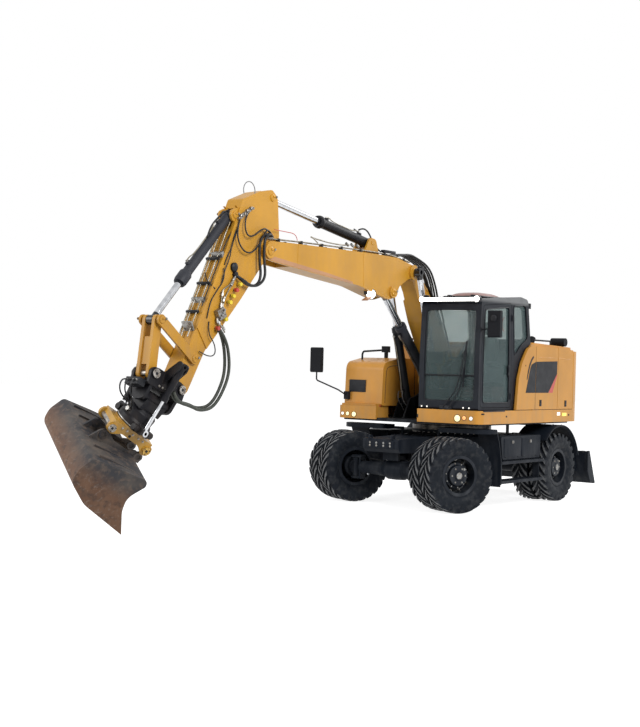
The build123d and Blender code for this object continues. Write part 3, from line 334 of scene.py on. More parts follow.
def add_turned(bm, place, profile, steps=32, material=0):
    """Body of revolution about the place's z axis; the profile holds (radius, height)."""
    rings = []
    for i in range(steps):
        a = 2 * math.pi * i / steps
        rings.append([bm.verts.new(place @ Vector((r * math.cos(a), r * math.sin(a), h)))
                      for r, h in profile])
    for near, far in zip(rings, rings[1:] + rings[:1]):
        for j in range(len(profile) - 1):
            if profile[j][0] < 1e-6 and profile[j + 1][0] < 1e-6:
                continue
            face = bm.faces.new((near[j], far[j], far[j + 1], near[j + 1]))
            face.material_index = material
    bmesh.ops.remove_doubles(bm, verts=[v for ring in rings for v in ring], dist=1e-5)


def add_block(bm, place, size, edge=0.003, material=0):
    """Block centred on a place, its edges broken."""
    made = bmesh.ops.create_cube(bm, size=1, matrix=place @ Matrix.Diagonal((*size, 1)))
    faces = {f for v in made["verts"] for f in v.link_faces}
    for face in faces:
        face.material_index = material
    if edge:
        edges = list({e for f in faces for e in f.edges})
        bmesh.ops.bevel(bm, geom=edges, offset=edge, segments=2, affect="EDGES", profile=0.6,
                        material=material)


def add_plate(bm, corners, thickness, edge=0.002):
    """Flat plate: corners in space, thickened along the face's normal."""
    verts = [bm.verts.new(Vector(c)) for c in corners]
    face = bm.faces.new(verts)
    face.normal_update()
    normal = face.normal.copy()
    lifted = bmesh.ops.extrude_face_region(bm, geom=[face])
    top = [g for g in lifted["geom"] if isinstance(g, bmesh.types.BMVert)]
    bmesh.ops.translate(bm, verts=top, vec=normal * thickness)
    if edge:
        edges = list({e for v in verts + top for e in v.link_edges})
        bmesh.ops.bevel(bm, geom=edges, offset=edge, segments=1, affect="EDGES")


def add_bolt(bm, place, across_flats, height, material=0):
    """Hexagon head on its washer, along the place's z axis."""
    radius = across_flats / 2
    add_turned(bm, place, round_bar(radius * 1.5, 0, height * 0.25), 16, material)
    add_turned(bm, place,
               [(0, 0), (radius * 1.12, 0), (radius * 1.12, height * 0.85), (radius * 0.95, height),
                (0, height)], 6, material)


zinc = two_tone("zinc_bolts", (0.30, 0.30, 0.29), (0.16, 0.13, 0.10), (30, 0.45, 0.7), 0.4, 0.9,
                skin=(500, 0.1, 0.001))

# Slewing bearing: a ring of high-strength bolts holds its inner race to the turret, and the seal's
# track is wet with grease that has gathered dust.

SLEW_BOLTS_R = 0.583
flange_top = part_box("slew_ring")[0].z
slew_steel = two_tone("greased_steel", (0.05, 0.045, 0.04), (0.16, 0.14, 0.12), (12, 0.4, 0.65), 0.38, 0.7,
                      skin=(60, 0.4))
dress(slew_steel, "slew_ring")

bm = bmesh.new()
for i in range(36):
    a = math.radians(10 * i + 5)
    spot = moved(SLEW_BOLTS_R * math.cos(a), SLEW_BOLTS_R * math.sin(a), flange_top - 0.036) @ spun(180, "X")
    add_bolt(bm, spot, 0.030, 0.020)
piece("slew_bolts", bm, zinc, "undercarriage")

# --- Tyres --------------------------------------------------------------------------------------
# Twin construction tyres: black rubber moulded with heavy bars that meet in a V round the tread and
# wrap over the shoulders. The sidewall has a bead ring and a scuff rib. Dust sits between the bars. The
# bar tops are lighter, partly wear and partly a painted highlight.

TYRE_NODES = ("tyres_front_left", "tyres_front_right", "tyres_rear_left", "tyres_rear_right")
BARS = 24
BEAD_R = 0.256
TYRE_WIDTH = 0.272
TWIN_SPACING = 0.305
TWIN_SHIFT = 7

rubber, rubber_tree, rubber_shader = new_finish("tyre_rubber", 0.62)
rubber_shader.inputs["Specular IOR Level"].default_value = 0.15
rubber_base = mixed(rubber_tree, (0.004, 0.006, 0.010), (0.010, 0.013, 0.018),
                    blotches(rubber_tree, 4, 0.35, 0.7))
rubber_dust = times(rubber_tree, blotches(rubber_tree, 14, 0.48, 0.75), 0.55)
rubber_tree.links.new(mixed(rubber_tree, rubber_base, (0.055, 0.057, 0.060), rubber_dust),
                      rubber_shader.inputs["Base Color"])
rough_skin(rubber_tree, rubber_shader, 160, 0.25)

# The bar tops' lighter grey is partly wear and partly a painted highlight.
bar_tops_worn_and_highlit = two_tone("bar_tops_wear_and_highlight", (0.040, 0.044, 0.050), (0.130, 0.132, 0.136), (40, 0.38, 0.62), 0.5,
                      skin=(220, 0.3))


def add_tyre(bm, centre, outer, bead, width):
    """One tyre round the centre's z axis: carcass with its bars, 0 rubber and 1 the bar tops, worn and with a
    painted highlight.
    """
    half = width / 2
    floor_r = outer - 0.030
    side = [(bead + 0.003, 0.56), (bead + 0.022, 0.60), (bead + 0.034, 0.70), (bead + 0.040, 0.715),
            (bead + 0.046, 0.70), (bead + 0.075, 0.86), (bead + 0.125, 0.965), (bead + 0.165, 0.985),
            (bead + 0.172, 0.995), (bead + 0.182, 0.985), (outer - 0.070, 0.955), (outer - 0.052, 0.925),
            (floor_r - 0.006, 0.80), (floor_r, 0.62)]
    profile = [(r, -half * k) for r, k in side] + [(r, half * k) for r, k in reversed(side)]
    add_turned(bm, centre, profile, 96, 0)
    steps = 5
    for hand in (-1, 1):
        for i in range(BARS):
            start = 2 * math.pi * (i + (0.5 if hand > 0 else 0)) / BARS
            rows = []
            for s in range(steps + 1):
                t = s / steps
                y = hand * half * (0.03 + 0.93 * t)
                lean = start + 0.36 * t ** 0.85
                wide = 0.020 + 0.016 * t
                drop = 0.004 * t + 0.030 * max(0.0, t - 0.72)
                foot = floor_r - 0.004 - 0.040 * max(0.0, t - 0.55) / 0.45
                top = outer - drop
                row = []
                for radius, spread in ((foot, 1.35), (top - 0.003, 1.0), (top, 0.88)):
                    row.append((radius, lean - spread * wide / outer, y))
                for radius, spread in ((top, 0.88), (top - 0.003, 1.0), (foot, 1.35)):
                    row.append((radius, lean + spread * wide / outer, y))
                rows.append([bm.verts.new(centre @ Vector((r * math.cos(a), r * math.sin(a), h)))
                             for r, a, h in row])
            for near, far in zip(rows, rows[1:]):
                for j in range(5):
                    face = bm.faces.new((near[j], near[j + 1], far[j + 1], far[j]))
                    face.material_index = 1 if j == 2 else 0
            bm.faces.new(rows[0])
            shoulder = []
            for radius, inset in ((floor_r - 0.075, 1.02), (floor_r - 0.110, 0.99)):
                lean = start + 0.36 + 0.03 * (radius < floor_r - 0.1)
                wide = 0.030 if inset > 1 else 0.018
                shoulder.append([bm.verts.new(centre @ Vector((radius * math.cos(lean + k * wide / outer),
                                                               radius * math.sin(lean + k * wide / outer),
                                                               hand * half * min(inset, 0.998))))
                                 for k in (-1.2, -1.0, -0.8, 0.8, 1.0, 1.2)])
            for near, far in zip([rows[-1]] + shoulder, shoulder):
                for j in range(5):
                    bm.faces.new((near[j], near[j + 1], far[j + 1], far[j]))
            bm.faces.new(shoulder[-1])


hub_joints = {j["child"]: j for j in frame["joints"] if j["name"].startswith("wheel_")}
for node in TYRE_NODES:
    body = node.replace("tyres", "wheels")
    axle = Vector(hub_joints[body]["axis"]).normalized()
    low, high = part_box(node)
    middle = Vector(((low.x + high.x) / 2, (low.y + high.y) / 2, (low.z + high.z) / 2))
    outer = (high.z - low.z) / 2
    outward = axle * (1 if middle.y > 0 else -1)
    bm = bmesh.new()
    for hand, shift in ((-0.5, 0), (0.5, TWIN_SHIFT)):
        place = facing(middle + outward * hand * TWIN_SPACING, outward) @ spun(shift, "Z")
        add_tyre(bm, place, outer - 0.001, BEAD_R, TYRE_WIDTH)
    tyre = piece(node.replace("tyres", "lugged_tyres"), bm, [rubber, bar_tops_worn_and_highlit], body, 28)
    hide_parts(node)

# --- Rims ---------------------------------------------------------------------------------------
# Pressed steel rims in black, clamped by ten wheel nuts round the planetary hub. The hub's cover is
# cast, with a drain plug, and is held by its own ring of bolts.

rim_black = paint("rim_black", (0.008, 0.011, 0.017), 0.45, ROAD_FILM, 0.7, 1.2, 0.2, shine=0.2)
# Bolt circles from the wheel nuts in: radius, height, count, first angle, width across flats and head.
HUB_BOLTS = ((0.2215, 0.060, 10, 9, 0.030, 0.026), (0.166, 0.150, 10, 27, 0.019, 0.012),
             (0.105, 0.2175, 6, 0, 0.017, 0.009))
for node in TYRE_NODES:
    rim = node.replace("tyres", "rims")
    body = node.replace("tyres", "wheels")
    dress(rim_black, rim)
    axle = Vector(hub_joints[body]["axis"]).normalized()
    tyre_low, tyre_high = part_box(node)
    middle = Vector(((tyre_low.x + tyre_high.x) / 2, (tyre_low.y + tyre_high.y) / 2, tyre_high.z / 2))
    outward = axle * (1 if middle.y > 0 else -1)
    place = facing(middle, outward)
    bm = bmesh.new()
    for radius, height, count, first, across, head in HUB_BOLTS:
        for i in range(count):
            a = math.radians(first + 360 / count * i)
            spot = moved(radius * math.cos(a), radius * math.sin(a), height)
            add_bolt(bm, place @ spot, across, head)
    add_turned(bm, place, [(0.045, 0.234), (0.045, 0.2385), (0.030, 0.2405), (0, 0.2405)], 24)
    add_bolt(bm, place @ moved(0.088, 0.088, 0.2165), 0.024, 0.014)
    piece(rim.replace("rims", "wheel_nuts"), bm, zinc, body)


# --- Axles and chassis fittings -----------------------------------------------------------------
# The front beam carries a valve box, tie-down eyes and the brake and steering hoses to the axle. The
# fittings are zinc-plated, the hoses rubber over steel braid, all grey with road film.

hose_rubber = two_tone("hose_rubber", (0.008, 0.009, 0.011), (0.035, 0.035, 0.036), (25, 0.45, 0.75), 0.42,
                       shine=0.25, skin=(400, 0.2, 0.001))


def hoses(name, routes, diameter, material, body):
    """Round lines along smooth routes, one curve with a spline for each line."""
    curve = bpy.data.curves.new(name, "CURVE")
    curve.dimensions = "3D"
    curve.bevel_depth = diameter / 2
    curve.bevel_resolution = 3
    curve.use_fill_caps = True
    curve.resolution_u = 8
    for route in routes:
        spline = curve.splines.new("NURBS")
        spline.points.add(len(route) - 1)
        for point, at in zip(spline.points, route):
            point.co = (*at, 1)
        spline.order_u = 3
        spline.use_endpoint_u = True
    curve.materials.append(material)
    obj = bpy.data.objects.new(name, curve)
    scene.collection.objects.link(obj)
    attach(obj, body)
    return obj


AXLE_X = hub_joints["wheels_front_left"]["pos_m"][0] - 0.126
beam_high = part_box("chassis_frame")[1]
bm = bmesh.new()
add_block(bm, moved(beam_high.x + 0.004, 0, 0.905), (0.016, 0.46, 0.11), 0.003)
for y in (-0.19, 0.19):
    add_turned(bm, facing((beam_high.x - 0.03, y, 0.99), (0, 1, 0)),
               [(0.045, -0.012), (0.045, 0.012), (0.026, 0.012), (0.026, -0.012), (0.045, -0.012)], 20)
for y in (-0.36, 0.36):
    add_block(bm, moved(1.0, y, 0.93), (0.30, 0.11, 0.10), 0.008)
    for x in (0.90, 0.97, 1.04, 1.11):
        add_turned(bm, facing((x, y, 0.975), (0, 0, 1)),
                   [(0.016, 0), (0.016, 0.03), (0.011, 0.034), (0, 0.034)], 12)
for side in (-1, 1):
    for x in (-0.62, 0.05, 0.62):
        add_block(bm, moved(x, side * 0.436, 0.86), (0.05, 0.02, 0.22), 0.004)
    for x in (-0.35, -0.25, 0.25, 0.35):
        add_bolt(bm, facing((x, side * 0.430, 0.78), (0, side, 0)), 0.028, 0.016)
piece("chassis_brackets", bm, chassis_enamel, "undercarriage")

bm = bmesh.new()
for y in (-0.17, -0.06, 0.06, 0.17):
    for z in (0.885, 0.925):
        add_bolt(bm, facing((beam_high.x + 0.012, y, z), (1, 0, 0)), 0.020, 0.010)
for side in (-1, 1):
    for x in (-0.10, 0.10):
        add_bolt(bm, facing((AXLE_X + x, side * 0.09, 0.80), (0, 0, 1)), 0.028, 0.016)
piece("chassis_bolts", bm, zinc, "undercarriage")

chassis_lines = []
for k, y in enumerate((-0.12, -0.07, 0.08, 0.13)):
    chassis_lines.append([(0.62, y, 1.035), (0.80, y * 1.2, 1.045), (1.05, y * 1.4, 1.015),
                          (1.30, y * 1.5, 0.90 + 0.01 * k), (1.36, y * 1.3, 0.72), (1.34, y, 0.63)])
for side in (-1, 1):
    chassis_lines.append([(1.36, side * 0.11, 0.49), (1.30, side * 0.25, 0.56), (1.33, side * 0.42, 0.64),
                          (1.40, side * 0.55, 0.645)])
    chassis_lines.append([(-0.83, side * 0.30, 0.93), (-1.0, side * 0.38, 0.90), (-1.12, side * 0.47, 0.78),
                          (-1.14, side * 0.52, 0.66)])
hoses("chassis_hoses", chassis_lines, 0.020, hose_rubber, "undercarriage")

# --- Toolboxes and steps ------------------------------------------------------------------------
# Sheet-steel boxes hang on the outriggers, each with a hinged lid, a latch and two treads of pressed
# grating. The front guards end in a rubber flap, held by a row of bolts.

LID_HEIGHT = 0.270
TREADS = 42
TREAD_PITCH = 0.030

bm = bmesh.new()
for side in (-1, 1):
    face_y = side * 1.2155
    for x0, x1 in ((-0.50, 0.02), (0.06, 0.56)):
        add_block(bm, moved((x0 + x1) / 2, face_y, 0.87), (x1 - x0, 0.010, LID_HEIGHT), 0.004)
        for hinge in (x0 + 0.06, x1 - 0.06):
            add_turned(bm, facing((hinge, face_y + side * 0.004, 0.739), (1, 0, 0)),
                       round_bar(0.008, -0.03, 0.03), 10)
    for z in (0.682, 0.402):
        for i in range(TREADS):
            x = -0.575 + TREAD_PITCH * i
            add_block(bm, moved(x, side * 1.176, z + 0.003), (0.008, 0.16, 0.010), 0)
    for x in (0.723, 0.735):
        add_block(bm, moved(x, side * 1.11, 0.40), (0.006, 0.30, 0.16), 0.001)
piece("toolbox_doors", bm, chassis_enamel, "undercarriage")

bm = bmesh.new()
for side in (-1, 1):
    for x in (-0.24, 0.31):
        add_block(bm, moved(x, side * 1.224, 0.955), (0.055, 0.012, 0.040), 0.003)
        add_turned(bm, facing((x, side * 1.228, 0.955), (0, side, 0)), round_bar(0.012, 0, 0.010), 14)
    for i in range(5):
        add_bolt(bm, facing((0.893, side * (0.98 + 0.066 * i), 1.118), (1, 0, 0)), 0.014, 0.008)
    for i in range(4):
        add_bolt(bm, facing((-1.14, side * (0.86 + 0.14 * i), 1.178), (0, 0, 1)), 0.016, 0.009)
piece("toolbox_latches", bm, zinc, "undercarriage")

# --- Dozer blade --------------------------------------------------------------------------------
# The rear blade's plate is rolled, with a bolted cutting edge of hard steel, scoured bright along its
# foot. A rubber stop stands on its top edge near each end.

edge_steel = two_tone("scoured_steel", (0.16, 0.14, 0.125), (0.055, 0.04, 0.03), (11, 0.45, 0.7), 0.38,
                      0.85, skin=(90, 0.35))

EDGE_BOLTS = 10
blade_low, blade_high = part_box("blade")
bm = bmesh.new()
lower = Vector((blade_low.x - 0.001, 0, blade_low.z + 0.003))
for y0, y1 in ((-1.225, -0.005), (0.005, 1.225)):
    add_plate(bm,
              [(lower.x + 0.012, y0, lower.z), (lower.x + 0.012, y1, lower.z),
               (lower.x + 0.092, y1, lower.z + 0.118), (lower.x + 0.092, y0, lower.z + 0.118)],
              0.012, 0.003)
piece("blade_edge", bm, edge_steel, "blade")
bm = bmesh.new()
for i in range(EDGE_BOLTS):
    y = -1.125 + 0.25 * i
    add_bolt(bm, facing((blade_low.x + 0.052, y, blade_low.z + 0.085), (-0.83, 0, 0.56)), 0.024, 0.016)
piece("blade_bolts", bm, zinc, "blade")
bm = bmesh.new()
for y in (-1.15, 1.15):
    add_turned(bm, facing((-2.214, y, blade_high.z - 0.006), (0, 0, 1)),
               [(0.030, -0.02), (0.030, 0), (0.027, 0.004), (0, 0.004)], 20)
piece("blade_stops", bm, hose_rubber, "blade")

# --- Upper structure ----------------------------------------------------------------------------
# Pressed and cast covers in glossy machine yellow over a steel deck. The paint is polished by weather
# on top and filmed with dust towards the skirt. Gaps between the covers are closed by black seals.

FILM_YELLOW = (0.36, 0.22, 0.09)
YELLOW = (0.60, 0.275, 0.038)
yellow = paint("machine_yellow", YELLOW, 0.38, FILM_YELLOW, 0.5, 2.2, 1.1, coat=0.12, skin=0.06, shine=0.35)
dress(yellow, "skirt_panels", "counterweight", "body_panels", "tank_box", "service_door_front",
      "service_door_rear", "engine_hood")
deck_black = paint("deck_black", (0.010, 0.011, 0.014), 0.5, ROAD_FILM, 0.5, 2.0, 1.0, shine=0.1)
dress(deck_black, "upper_frame", "mirrors", "work_lamps", "hood_fittings")
cast_grey = paint("cast_grey", (0.16, 0.16, 0.16), 0.6, (0.08, 0.075, 0.07), 0.6, 2.2, 1.3)
dress(cast_grey, "engine_block")

trim_black = two_tone("trim_black", (0.009, 0.010, 0.013), (0.022, 0.023, 0.027), (8, 0.4, 0.7), 0.45,
                      shine=0.2, skin=(500, 0.2, 0.001))

stripe_red = two_tone("stripe_red", (0.50, 0.045, 0.030), (0.40, 0.04, 0.03), (6, 0.4, 0.7), 0.35, coat=0.4,
                      skin=(300, 0.05))

side_low, side_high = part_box("body_panels")
skirt_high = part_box("skirt_panels")[1]
COVER_Y = side_high.y
SKIRT_Y = skirt_high.y


def on_side(points, y):
    """Side-view points (x, z) at one y."""
    return [(x, y, z) for x, z in points]


def side_decal(name, points, lift, material, body):
    """Film cut to a side-view outline and laid on the left side."""
    bm = bmesh.new()
    verts = [bm.verts.new(p) for p in on_side(points, COVER_Y + lift)]
    bm.faces.new(verts)
    made = bmesh.ops.extrude_face_region(bm, geom=list(bm.faces))
    bmesh.ops.translate(bm, verts=[g for g in made["geom"] if isinstance(g, bmesh.types.BMVert)],
                        vec=(0, 0.0012, 0))
    return piece(name, bm, material, body)


# Black field on the left side, blank, with the red wedge behind it: film in two parts, split at the gap
# between the fixed cover and the service door, so that the door opens with its own part.
side_decal("side_field_fixed",
           [(-0.334, 2.139), (-0.196, 2.095), (-0.160, 2.04), (-0.029, 1.673), (-0.334, 1.6735)], 0.0004,
           trim_black, "upper")
side_decal("side_field_door",
           [(-0.346, 2.140), (-0.346, 1.6735), (-0.763, 1.674), (-1.043, 1.967), (-1.048, 2.16)], 0.0004,
           trim_black, "service_door_front")
side_decal("side_wedge", [(-0.770, 1.674), (-1.046, 1.963), (-1.052, 1.945), (-0.905, 1.674)], 0.0004,
           stripe_red, "service_door_front")

# Latches: black pressed cups with a paddle, one on each service door.
for name, body, at in (("latch_front", "service_door_front", (-0.512, 1.52)),
                       ("latch_rear", "service_door_rear", (-1.357, 1.508))):
    bm = bmesh.new()
    place = facing((at[0], COVER_Y, at[1]), (0, 1, 0))
    add_block(bm, place @ moved(0, 0, 0.002), (0.066, 0.096, 0.008), 0.003)
    add_block(bm, place @ moved(0, 0.006, 0.005), (0.040, 0.060, 0.010), 0.004)
    add_turned(bm, place @ moved(0, -0.033, 0.004), [(0.009, 0), (0.009, 0.006), (0, 0.007)], 14)
    piece(name, bm, trim_black, body)
    bm = bmesh.new()
    add_turned(bm, place @ moved(0, -0.012, 0.0098), [(0.006, 0), (0.006, 0.002), (0, 0.002)], 12)
    piece(name + "_lock", bm, zinc, body)


def beads(name, lines, radius, material, body):
    """Straight or bent round beads, such as seals and pressed creases."""
    return hoses(name, lines, radius * 2, material, body)


seal_front = [[(-0.3405, COVER_Y - 0.006, 1.43), (-0.3405, COVER_Y - 0.006, 2.365)],
              [(-0.26, COVER_Y - 0.010, 1.419), (-1.60, COVER_Y - 0.010, 1.419)]]
beads("cover_seals", seal_front, 0.005, trim_black, "upper")
beads("door_crease_front", [[(-0.40, COVER_Y - 0.001, 2.206), (-1.06, COVER_Y - 0.001, 2.204)]], 0.004,
      yellow, "service_door_front")
beads("door_crease_rear", [[(-1.10, COVER_Y - 0.001, 2.204), (-1.50, COVER_Y - 0.001, 2.196)]], 0.004,
      yellow, "service_door_rear")

# Grab recess in the fixed cover: a thin dark crescent laid on the cover, along its curved edge.
bm = bmesh.new()
inner = [(-0.052, 1.87), (-0.082, 1.99), (-0.128, 2.10), (-0.190, 2.185), (-0.250, 2.225)]
outer = [(-0.270, 2.205), (-0.205, 2.150), (-0.155, 2.075), (-0.108, 1.965), (-0.075, 1.87)]
verts = [bm.verts.new((x, COVER_Y + 0.0006, z)) for x, z in inner + outer]
bm.faces.new(verts)
made = bmesh.ops.extrude_face_region(bm, geom=list(bm.faces))
bmesh.ops.translate(bm, verts=[g for g in made["geom"] if isinstance(g, bmesh.types.BMVert)],
                    vec=(0, 0.0015, 0))
add_turned(bm, facing((-0.012, COVER_Y, 2.075), (0, 1, 0)), [(0.010, 0), (0.010, 0.003), (0, 0.003)], 14)
piece("grab_recess", bm, trim_black, "upper")

# Engine air grilles: slatted black inserts in the right side cover, and louvres across the engine cover.
bm = bmesh.new()
right_y = side_low.y
for x0, x1 in ((-1.53, -1.02), (-0.96, -0.50)):
    for i in range(15):
        z = 1.56 + 0.040 * i
        place = moved((x0 + x1) / 2, right_y - 0.003, z) @ spun(35, "X")
        add_block(bm, place, (x1 - x0, 0.004, 0.030), 0)
    for z in (1.535, 2.145):
        add_block(bm, moved((x0 + x1) / 2, right_y - 0.002, z), (x1 - x0 + 0.03, 0.012, 0.016), 0.002)
    for x in (x0 - 0.008, x1 + 0.008):
        add_block(bm, moved(x, right_y - 0.002, 1.84), (0.016, 0.012, 0.626), 0.002)
piece("side_grilles", bm, trim_black, "upper")
bm = bmesh.new()
for i in range(16):
    place = moved(-0.62 - 0.036 * i, 0,
                  2.4085 + 0.0022 * (16 - i) / 2) @ Matrix.Rotation(math.radians(1.6), 4, "Y")
    add_block(bm, place, (0.020, 1.36, 0.010), 0.002)
piece("hood_louvres", bm, trim_black, "hood")

# Skirt fittings: clearance lamps in the front corners, slots for the tie-down hooks, and the reflectors
# at the rear corners. Lamp lenses are clear or amber plastic over a lit bulb; the reflectors glow as a
# painted glint.


def lit(name, colour, strength, roughness=0.25):
    """Lamp lens, glowing strip or screen, and the painted glint on parts that are no lamps."""
    material, tree, shader = new_finish(name, roughness)
    tint = mixed(tree, colour, tuple(min(1.0, c * 1.15) for c in colour), blotches(tree, 60, 0.3, 0.7))
    tree.links.new(tint, shader.inputs["Base Color"])
    tree.links.new(tint, shader.inputs["Emission Color"])
    shader.inputs["Emission Strength"].default_value = strength
    return material


white_lens_and_glint = lit("white_lens_and_glint", (0.85, 0.82, 0.75), 0.9)
lens_warm = lit("lens_warm", (0.90, 0.72, 0.38), 1.0)
lens_amber = lit("lens_amber", (0.85, 0.36, 0.12), 0.7)
lens_red = lit("lens_red", (0.55, 0.03, 0.02), 0.25)
yellow_reflector_glint = lit("yellow_reflector_glint", (0.85, 0.66, 0.12), 0.5)

FRONT_X = skirt_high.x
CORNER_R = 0.11


def corner_x(y):
    """Front face of the skirt at y: flat, then round the corner."""
    past = max(0.0, abs(y) - (SKIRT_Y - CORNER_R))
    return FRONT_X - CORNER_R + math.sqrt(max(0.0, CORNER_R ** 2 - past ** 2))


def front_lamp(bm, y, z, radius, material):
    """Round lens proud of the skirt's front face, in its bezel."""
    place = facing((corner_x(y), y, z), (1, 0, 0))
    add_turned(bm, place, [(radius * 1.22, -0.004), (radius * 1.22, 0.0035), (radius, 0.005)], 24, 0)
    dome = [(radius * math.cos(a), 0.005 + radius * 0.22 * math.sin(a)) for a in (0, 0.4, 0.8, 1.2)]
    add_turned(bm, place, dome + [(0, 0.005 + radius * 0.22)], 24, material)


bm = bmesh.new()
for y, z, radius, lens in ((0.863, 1.300, 0.046, 2), (0.974, 1.308, 0.030, 3), (1.086, 1.304, 0.026, 1),
                           (-1.128, 1.290, 0.022, 1), (-1.038, 1.290, 0.028, 2), (-0.922, 1.284, 0.036, 2)):
    front_lamp(bm, y, z, radius, lens)
piece("skirt_lamps", bm, [trim_black, white_lens_and_glint, lens_warm, lens_amber], "upper")

bm = bmesh.new()
add_block(bm, moved(FRONT_X, 0.200, 1.310), (0.004, 0.022, 0.050), 0.001)
add_block(bm, moved(1.235, SKIRT_Y - 0.004, 1.372) @ spun(-20, "Z"), (0.050, 0.012, 0.020), 0.001)
for x in (0.55, -1.474):
    add_block(bm, moved(x, SKIRT_Y, 1.330), (0.036, 0.005, 0.026), 0.002)
add_block(bm, moved(0.92, SKIRT_Y + 0.001, 1.412), (0.62, 0.014, 0.018), 0.003)
piece("skirt_slots", bm, trim_black, "upper")

# The reflectors glow: painted glint, not lamps.
bm = bmesh.new()
for side in (-1, 1):
    add_block(bm, moved(-1.12, side * (SKIRT_Y + 0.001), 1.350), (0.10, 0.004, 0.050), 0.002, 0)
    add_block(bm, moved(-1.32, side * (SKIRT_Y + 0.001), 1.338), (0.15, 0.004, 0.050), 0.002, 1)
piece("skirt_reflectors", bm, [white_lens_and_glint, yellow_reflector_glint], "upper")

tail_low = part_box("counterweight")[0]
bm = bmesh.new()
for side in (-1, 1):
    place = moved(tail_low.x + 0.155, side * 0.88, 1.46) @ spun(side * -27, "Z")
    add_block(bm, place, (0.030, 0.22, 0.10), 0.006, 0)
    for k, lens in ((-0.06, 1), (0.0, 2), (0.06, 3)):
        add_block(bm, place @ moved(-0.012, k, 0), (0.016, 0.052, 0.080), 0.004, lens)
piece("tail_lamps", bm, [trim_black, lens_red, lens_amber, white_lens_and_glint], "upper")
bm = bmesh.new()
for y in (-0.45, 0.45):
    add_turned(bm, facing((-1.83, y, 2.315), (1, 0, 0)),
               [(0.060, -0.02), (0.060, 0.02), (0.036, 0.02), (0.036, -0.02), (0.060, -0.02)], 24)
piece("counterweight_eyes", bm, yellow, "upper")

# --- Tank box -----------------------------------------------------------------------------------
# Storage box ahead of the tank on the right: pressed yellow doors, a blank black plate on its nose, a
# red seam line at the foot and a dark pressed panel on the side that faces the boom.

tank_low, tank_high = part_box("tank_box")
bm = bmesh.new()
add_block(bm, moved(1.1435, -0.985, 1.708), (0.006, 0.300, 0.185), 0.002)
piece("nose_plate", bm, trim_black, "upper")
bm = bmesh.new()
add_block(bm, moved(1.150, -0.88, 1.4195), (0.010, 0.66, 0.012), 0.002)
piece("nose_seam", bm, stripe_red, "upper")
beads("tank_side_lines",
      [on_side(line, tank_high.y + 0.001)
       for line in ([(1.06, 1.46), (1.055, 1.94), (0.98, 2.02), (0.70, 2.03)],
                    [(0.25, 1.45), (0.25, 2.03)])], 0.004, trim_black, "upper")
bm = bmesh.new()
for x in (-0.10, 0.52):
    add_block(bm, moved(x, tank_low.y - 0.002, 1.74), (0.012, 0.008, 0.56), 0.002)
for x in (0.20, 0.82):
    add_block(bm, moved(x, tank_low.y - 0.004, 1.62), (0.066, 0.012, 0.096), 0.004)
add_turned(bm, facing((-0.18, -0.80, tank_high.z - 0.002), (0, 0, 1)),
           [(0.070, -0.01), (0.070, 0.022), (0.060, 0.032), (0.020, 0.034), (0, 0.034)], 32)
piece("tank_fittings", bm, trim_black, "upper")

# --- Cab ----------------------------------------------------------------------------------------
# Welded tube and pressed panels in near-black enamel. The roof is grey, partly dust and partly a painted
# sheen of the light on its top. The panes are green-tinted, with a painted reflection, and sit in black
# rubber. A long lamp strip, two wiper arms and the hanging mirror are outside.

cab_black, cab_tree, cab_shader = new_finish("cab_enamel", 0.42)
roof_share = blotches(cab_tree, 3, 0.2, 0.5)
roof_dust_and_sheen = mixed(cab_tree, (0.12, 0.125, 0.13), (0.17, 0.175, 0.18), roof_share)
frame_tint = mixed(cab_tree, (0.006, 0.008, 0.013), (0.013, 0.016, 0.022), blotches(cab_tree, 5, 0.35, 0.7))
# Above 2.95 m the roof's grey takes over: partly dust, partly a painted sheen of the light on its top.
cab_tree.links.new(mixed(cab_tree, roof_dust_and_sheen, frame_tint, below(cab_tree, 3.00, 2.95)),
                   cab_shader.inputs["Base Color"])
cab_shader.inputs["Specular IOR Level"].default_value = 0.15
rough_skin(cab_tree, cab_shader, 260, 0.08)
dress(cab_black, "cab_frame", "cab_door")


def pane(name, tint, smoke):
    """Pane: tint lets light through, smoke is its dusty foot, and a greenish film over it is a painted
    reflection of what it mirrors.
    """
    material, tree, shader = new_finish(name, 0.12)
    through = tree.nodes.new("ShaderNodeBsdfTransparent")
    dusty = mixed(tree, tint, smoke, below(tree, 2.5, 1.8))
    tree.links.new(mixed(tree, dusty, smoke, blotches(tree, 2.2, 0.5, 0.8)), through.inputs["Color"])
    # Painted reflection: the greenish film shows what the pane would mirror.
    film = mixed(tree, (0.15, 0.21, 0.21), (0.10, 0.14, 0.145), blotches(tree, 1.6, 0.35, 0.7))
    tree.links.new(film, shader.inputs["Base Color"])
    shader.inputs["Specular IOR Level"].default_value = 0.3
    edge = tree.nodes.new("ShaderNodeFresnel")
    edge.inputs["IOR"].default_value = 1.12
    haze = tree.nodes.new("ShaderNodeMath")
    haze.operation = "ADD"
    haze.inputs[1].default_value = 0.27
    tree.links.new(edge.outputs["Fac"], haze.inputs[0])
    blend = tree.nodes.new("ShaderNodeMixShader")
    tree.links.new(haze.outputs[0], blend.inputs["Fac"])
    tree.links.new(through.outputs[0], blend.inputs[1])
    tree.links.new(shader.outputs[0], blend.inputs[2])
    tree.links.new(blend.outputs[0], tree.nodes["Material Output"].inputs["Surface"])
    return material


glass = pane("tinted_glass", (0.93, 0.96, 0.95), (0.80, 0.86, 0.87))
dress(glass, "cab_glass", "door_glass")

CAB_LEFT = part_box("cab_frame")[1].y
CAB_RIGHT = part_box("cab_frame")[0].y
SCREEN_X = 1.268
MID_Y = (CAB_LEFT + CAB_RIGHT) / 2


def rounded_loop(corners, radius, steps=5):
    """Points round a flat loop of corners in space, its corners rounded."""
    points = []
    count = len(corners)
    for i, corner in enumerate(corners):
        here = Vector(corner)
        before = (Vector(corners[i - 1]) - here).normalized() * radius
        after = (Vector(corners[(i + 1) % count]) - here).normalized() * radius
        for k in range(steps + 1):
            t = k / steps
            points.append(here + before * (1 - t) ** 2 + after * t ** 2)
    return points + [points[0]]


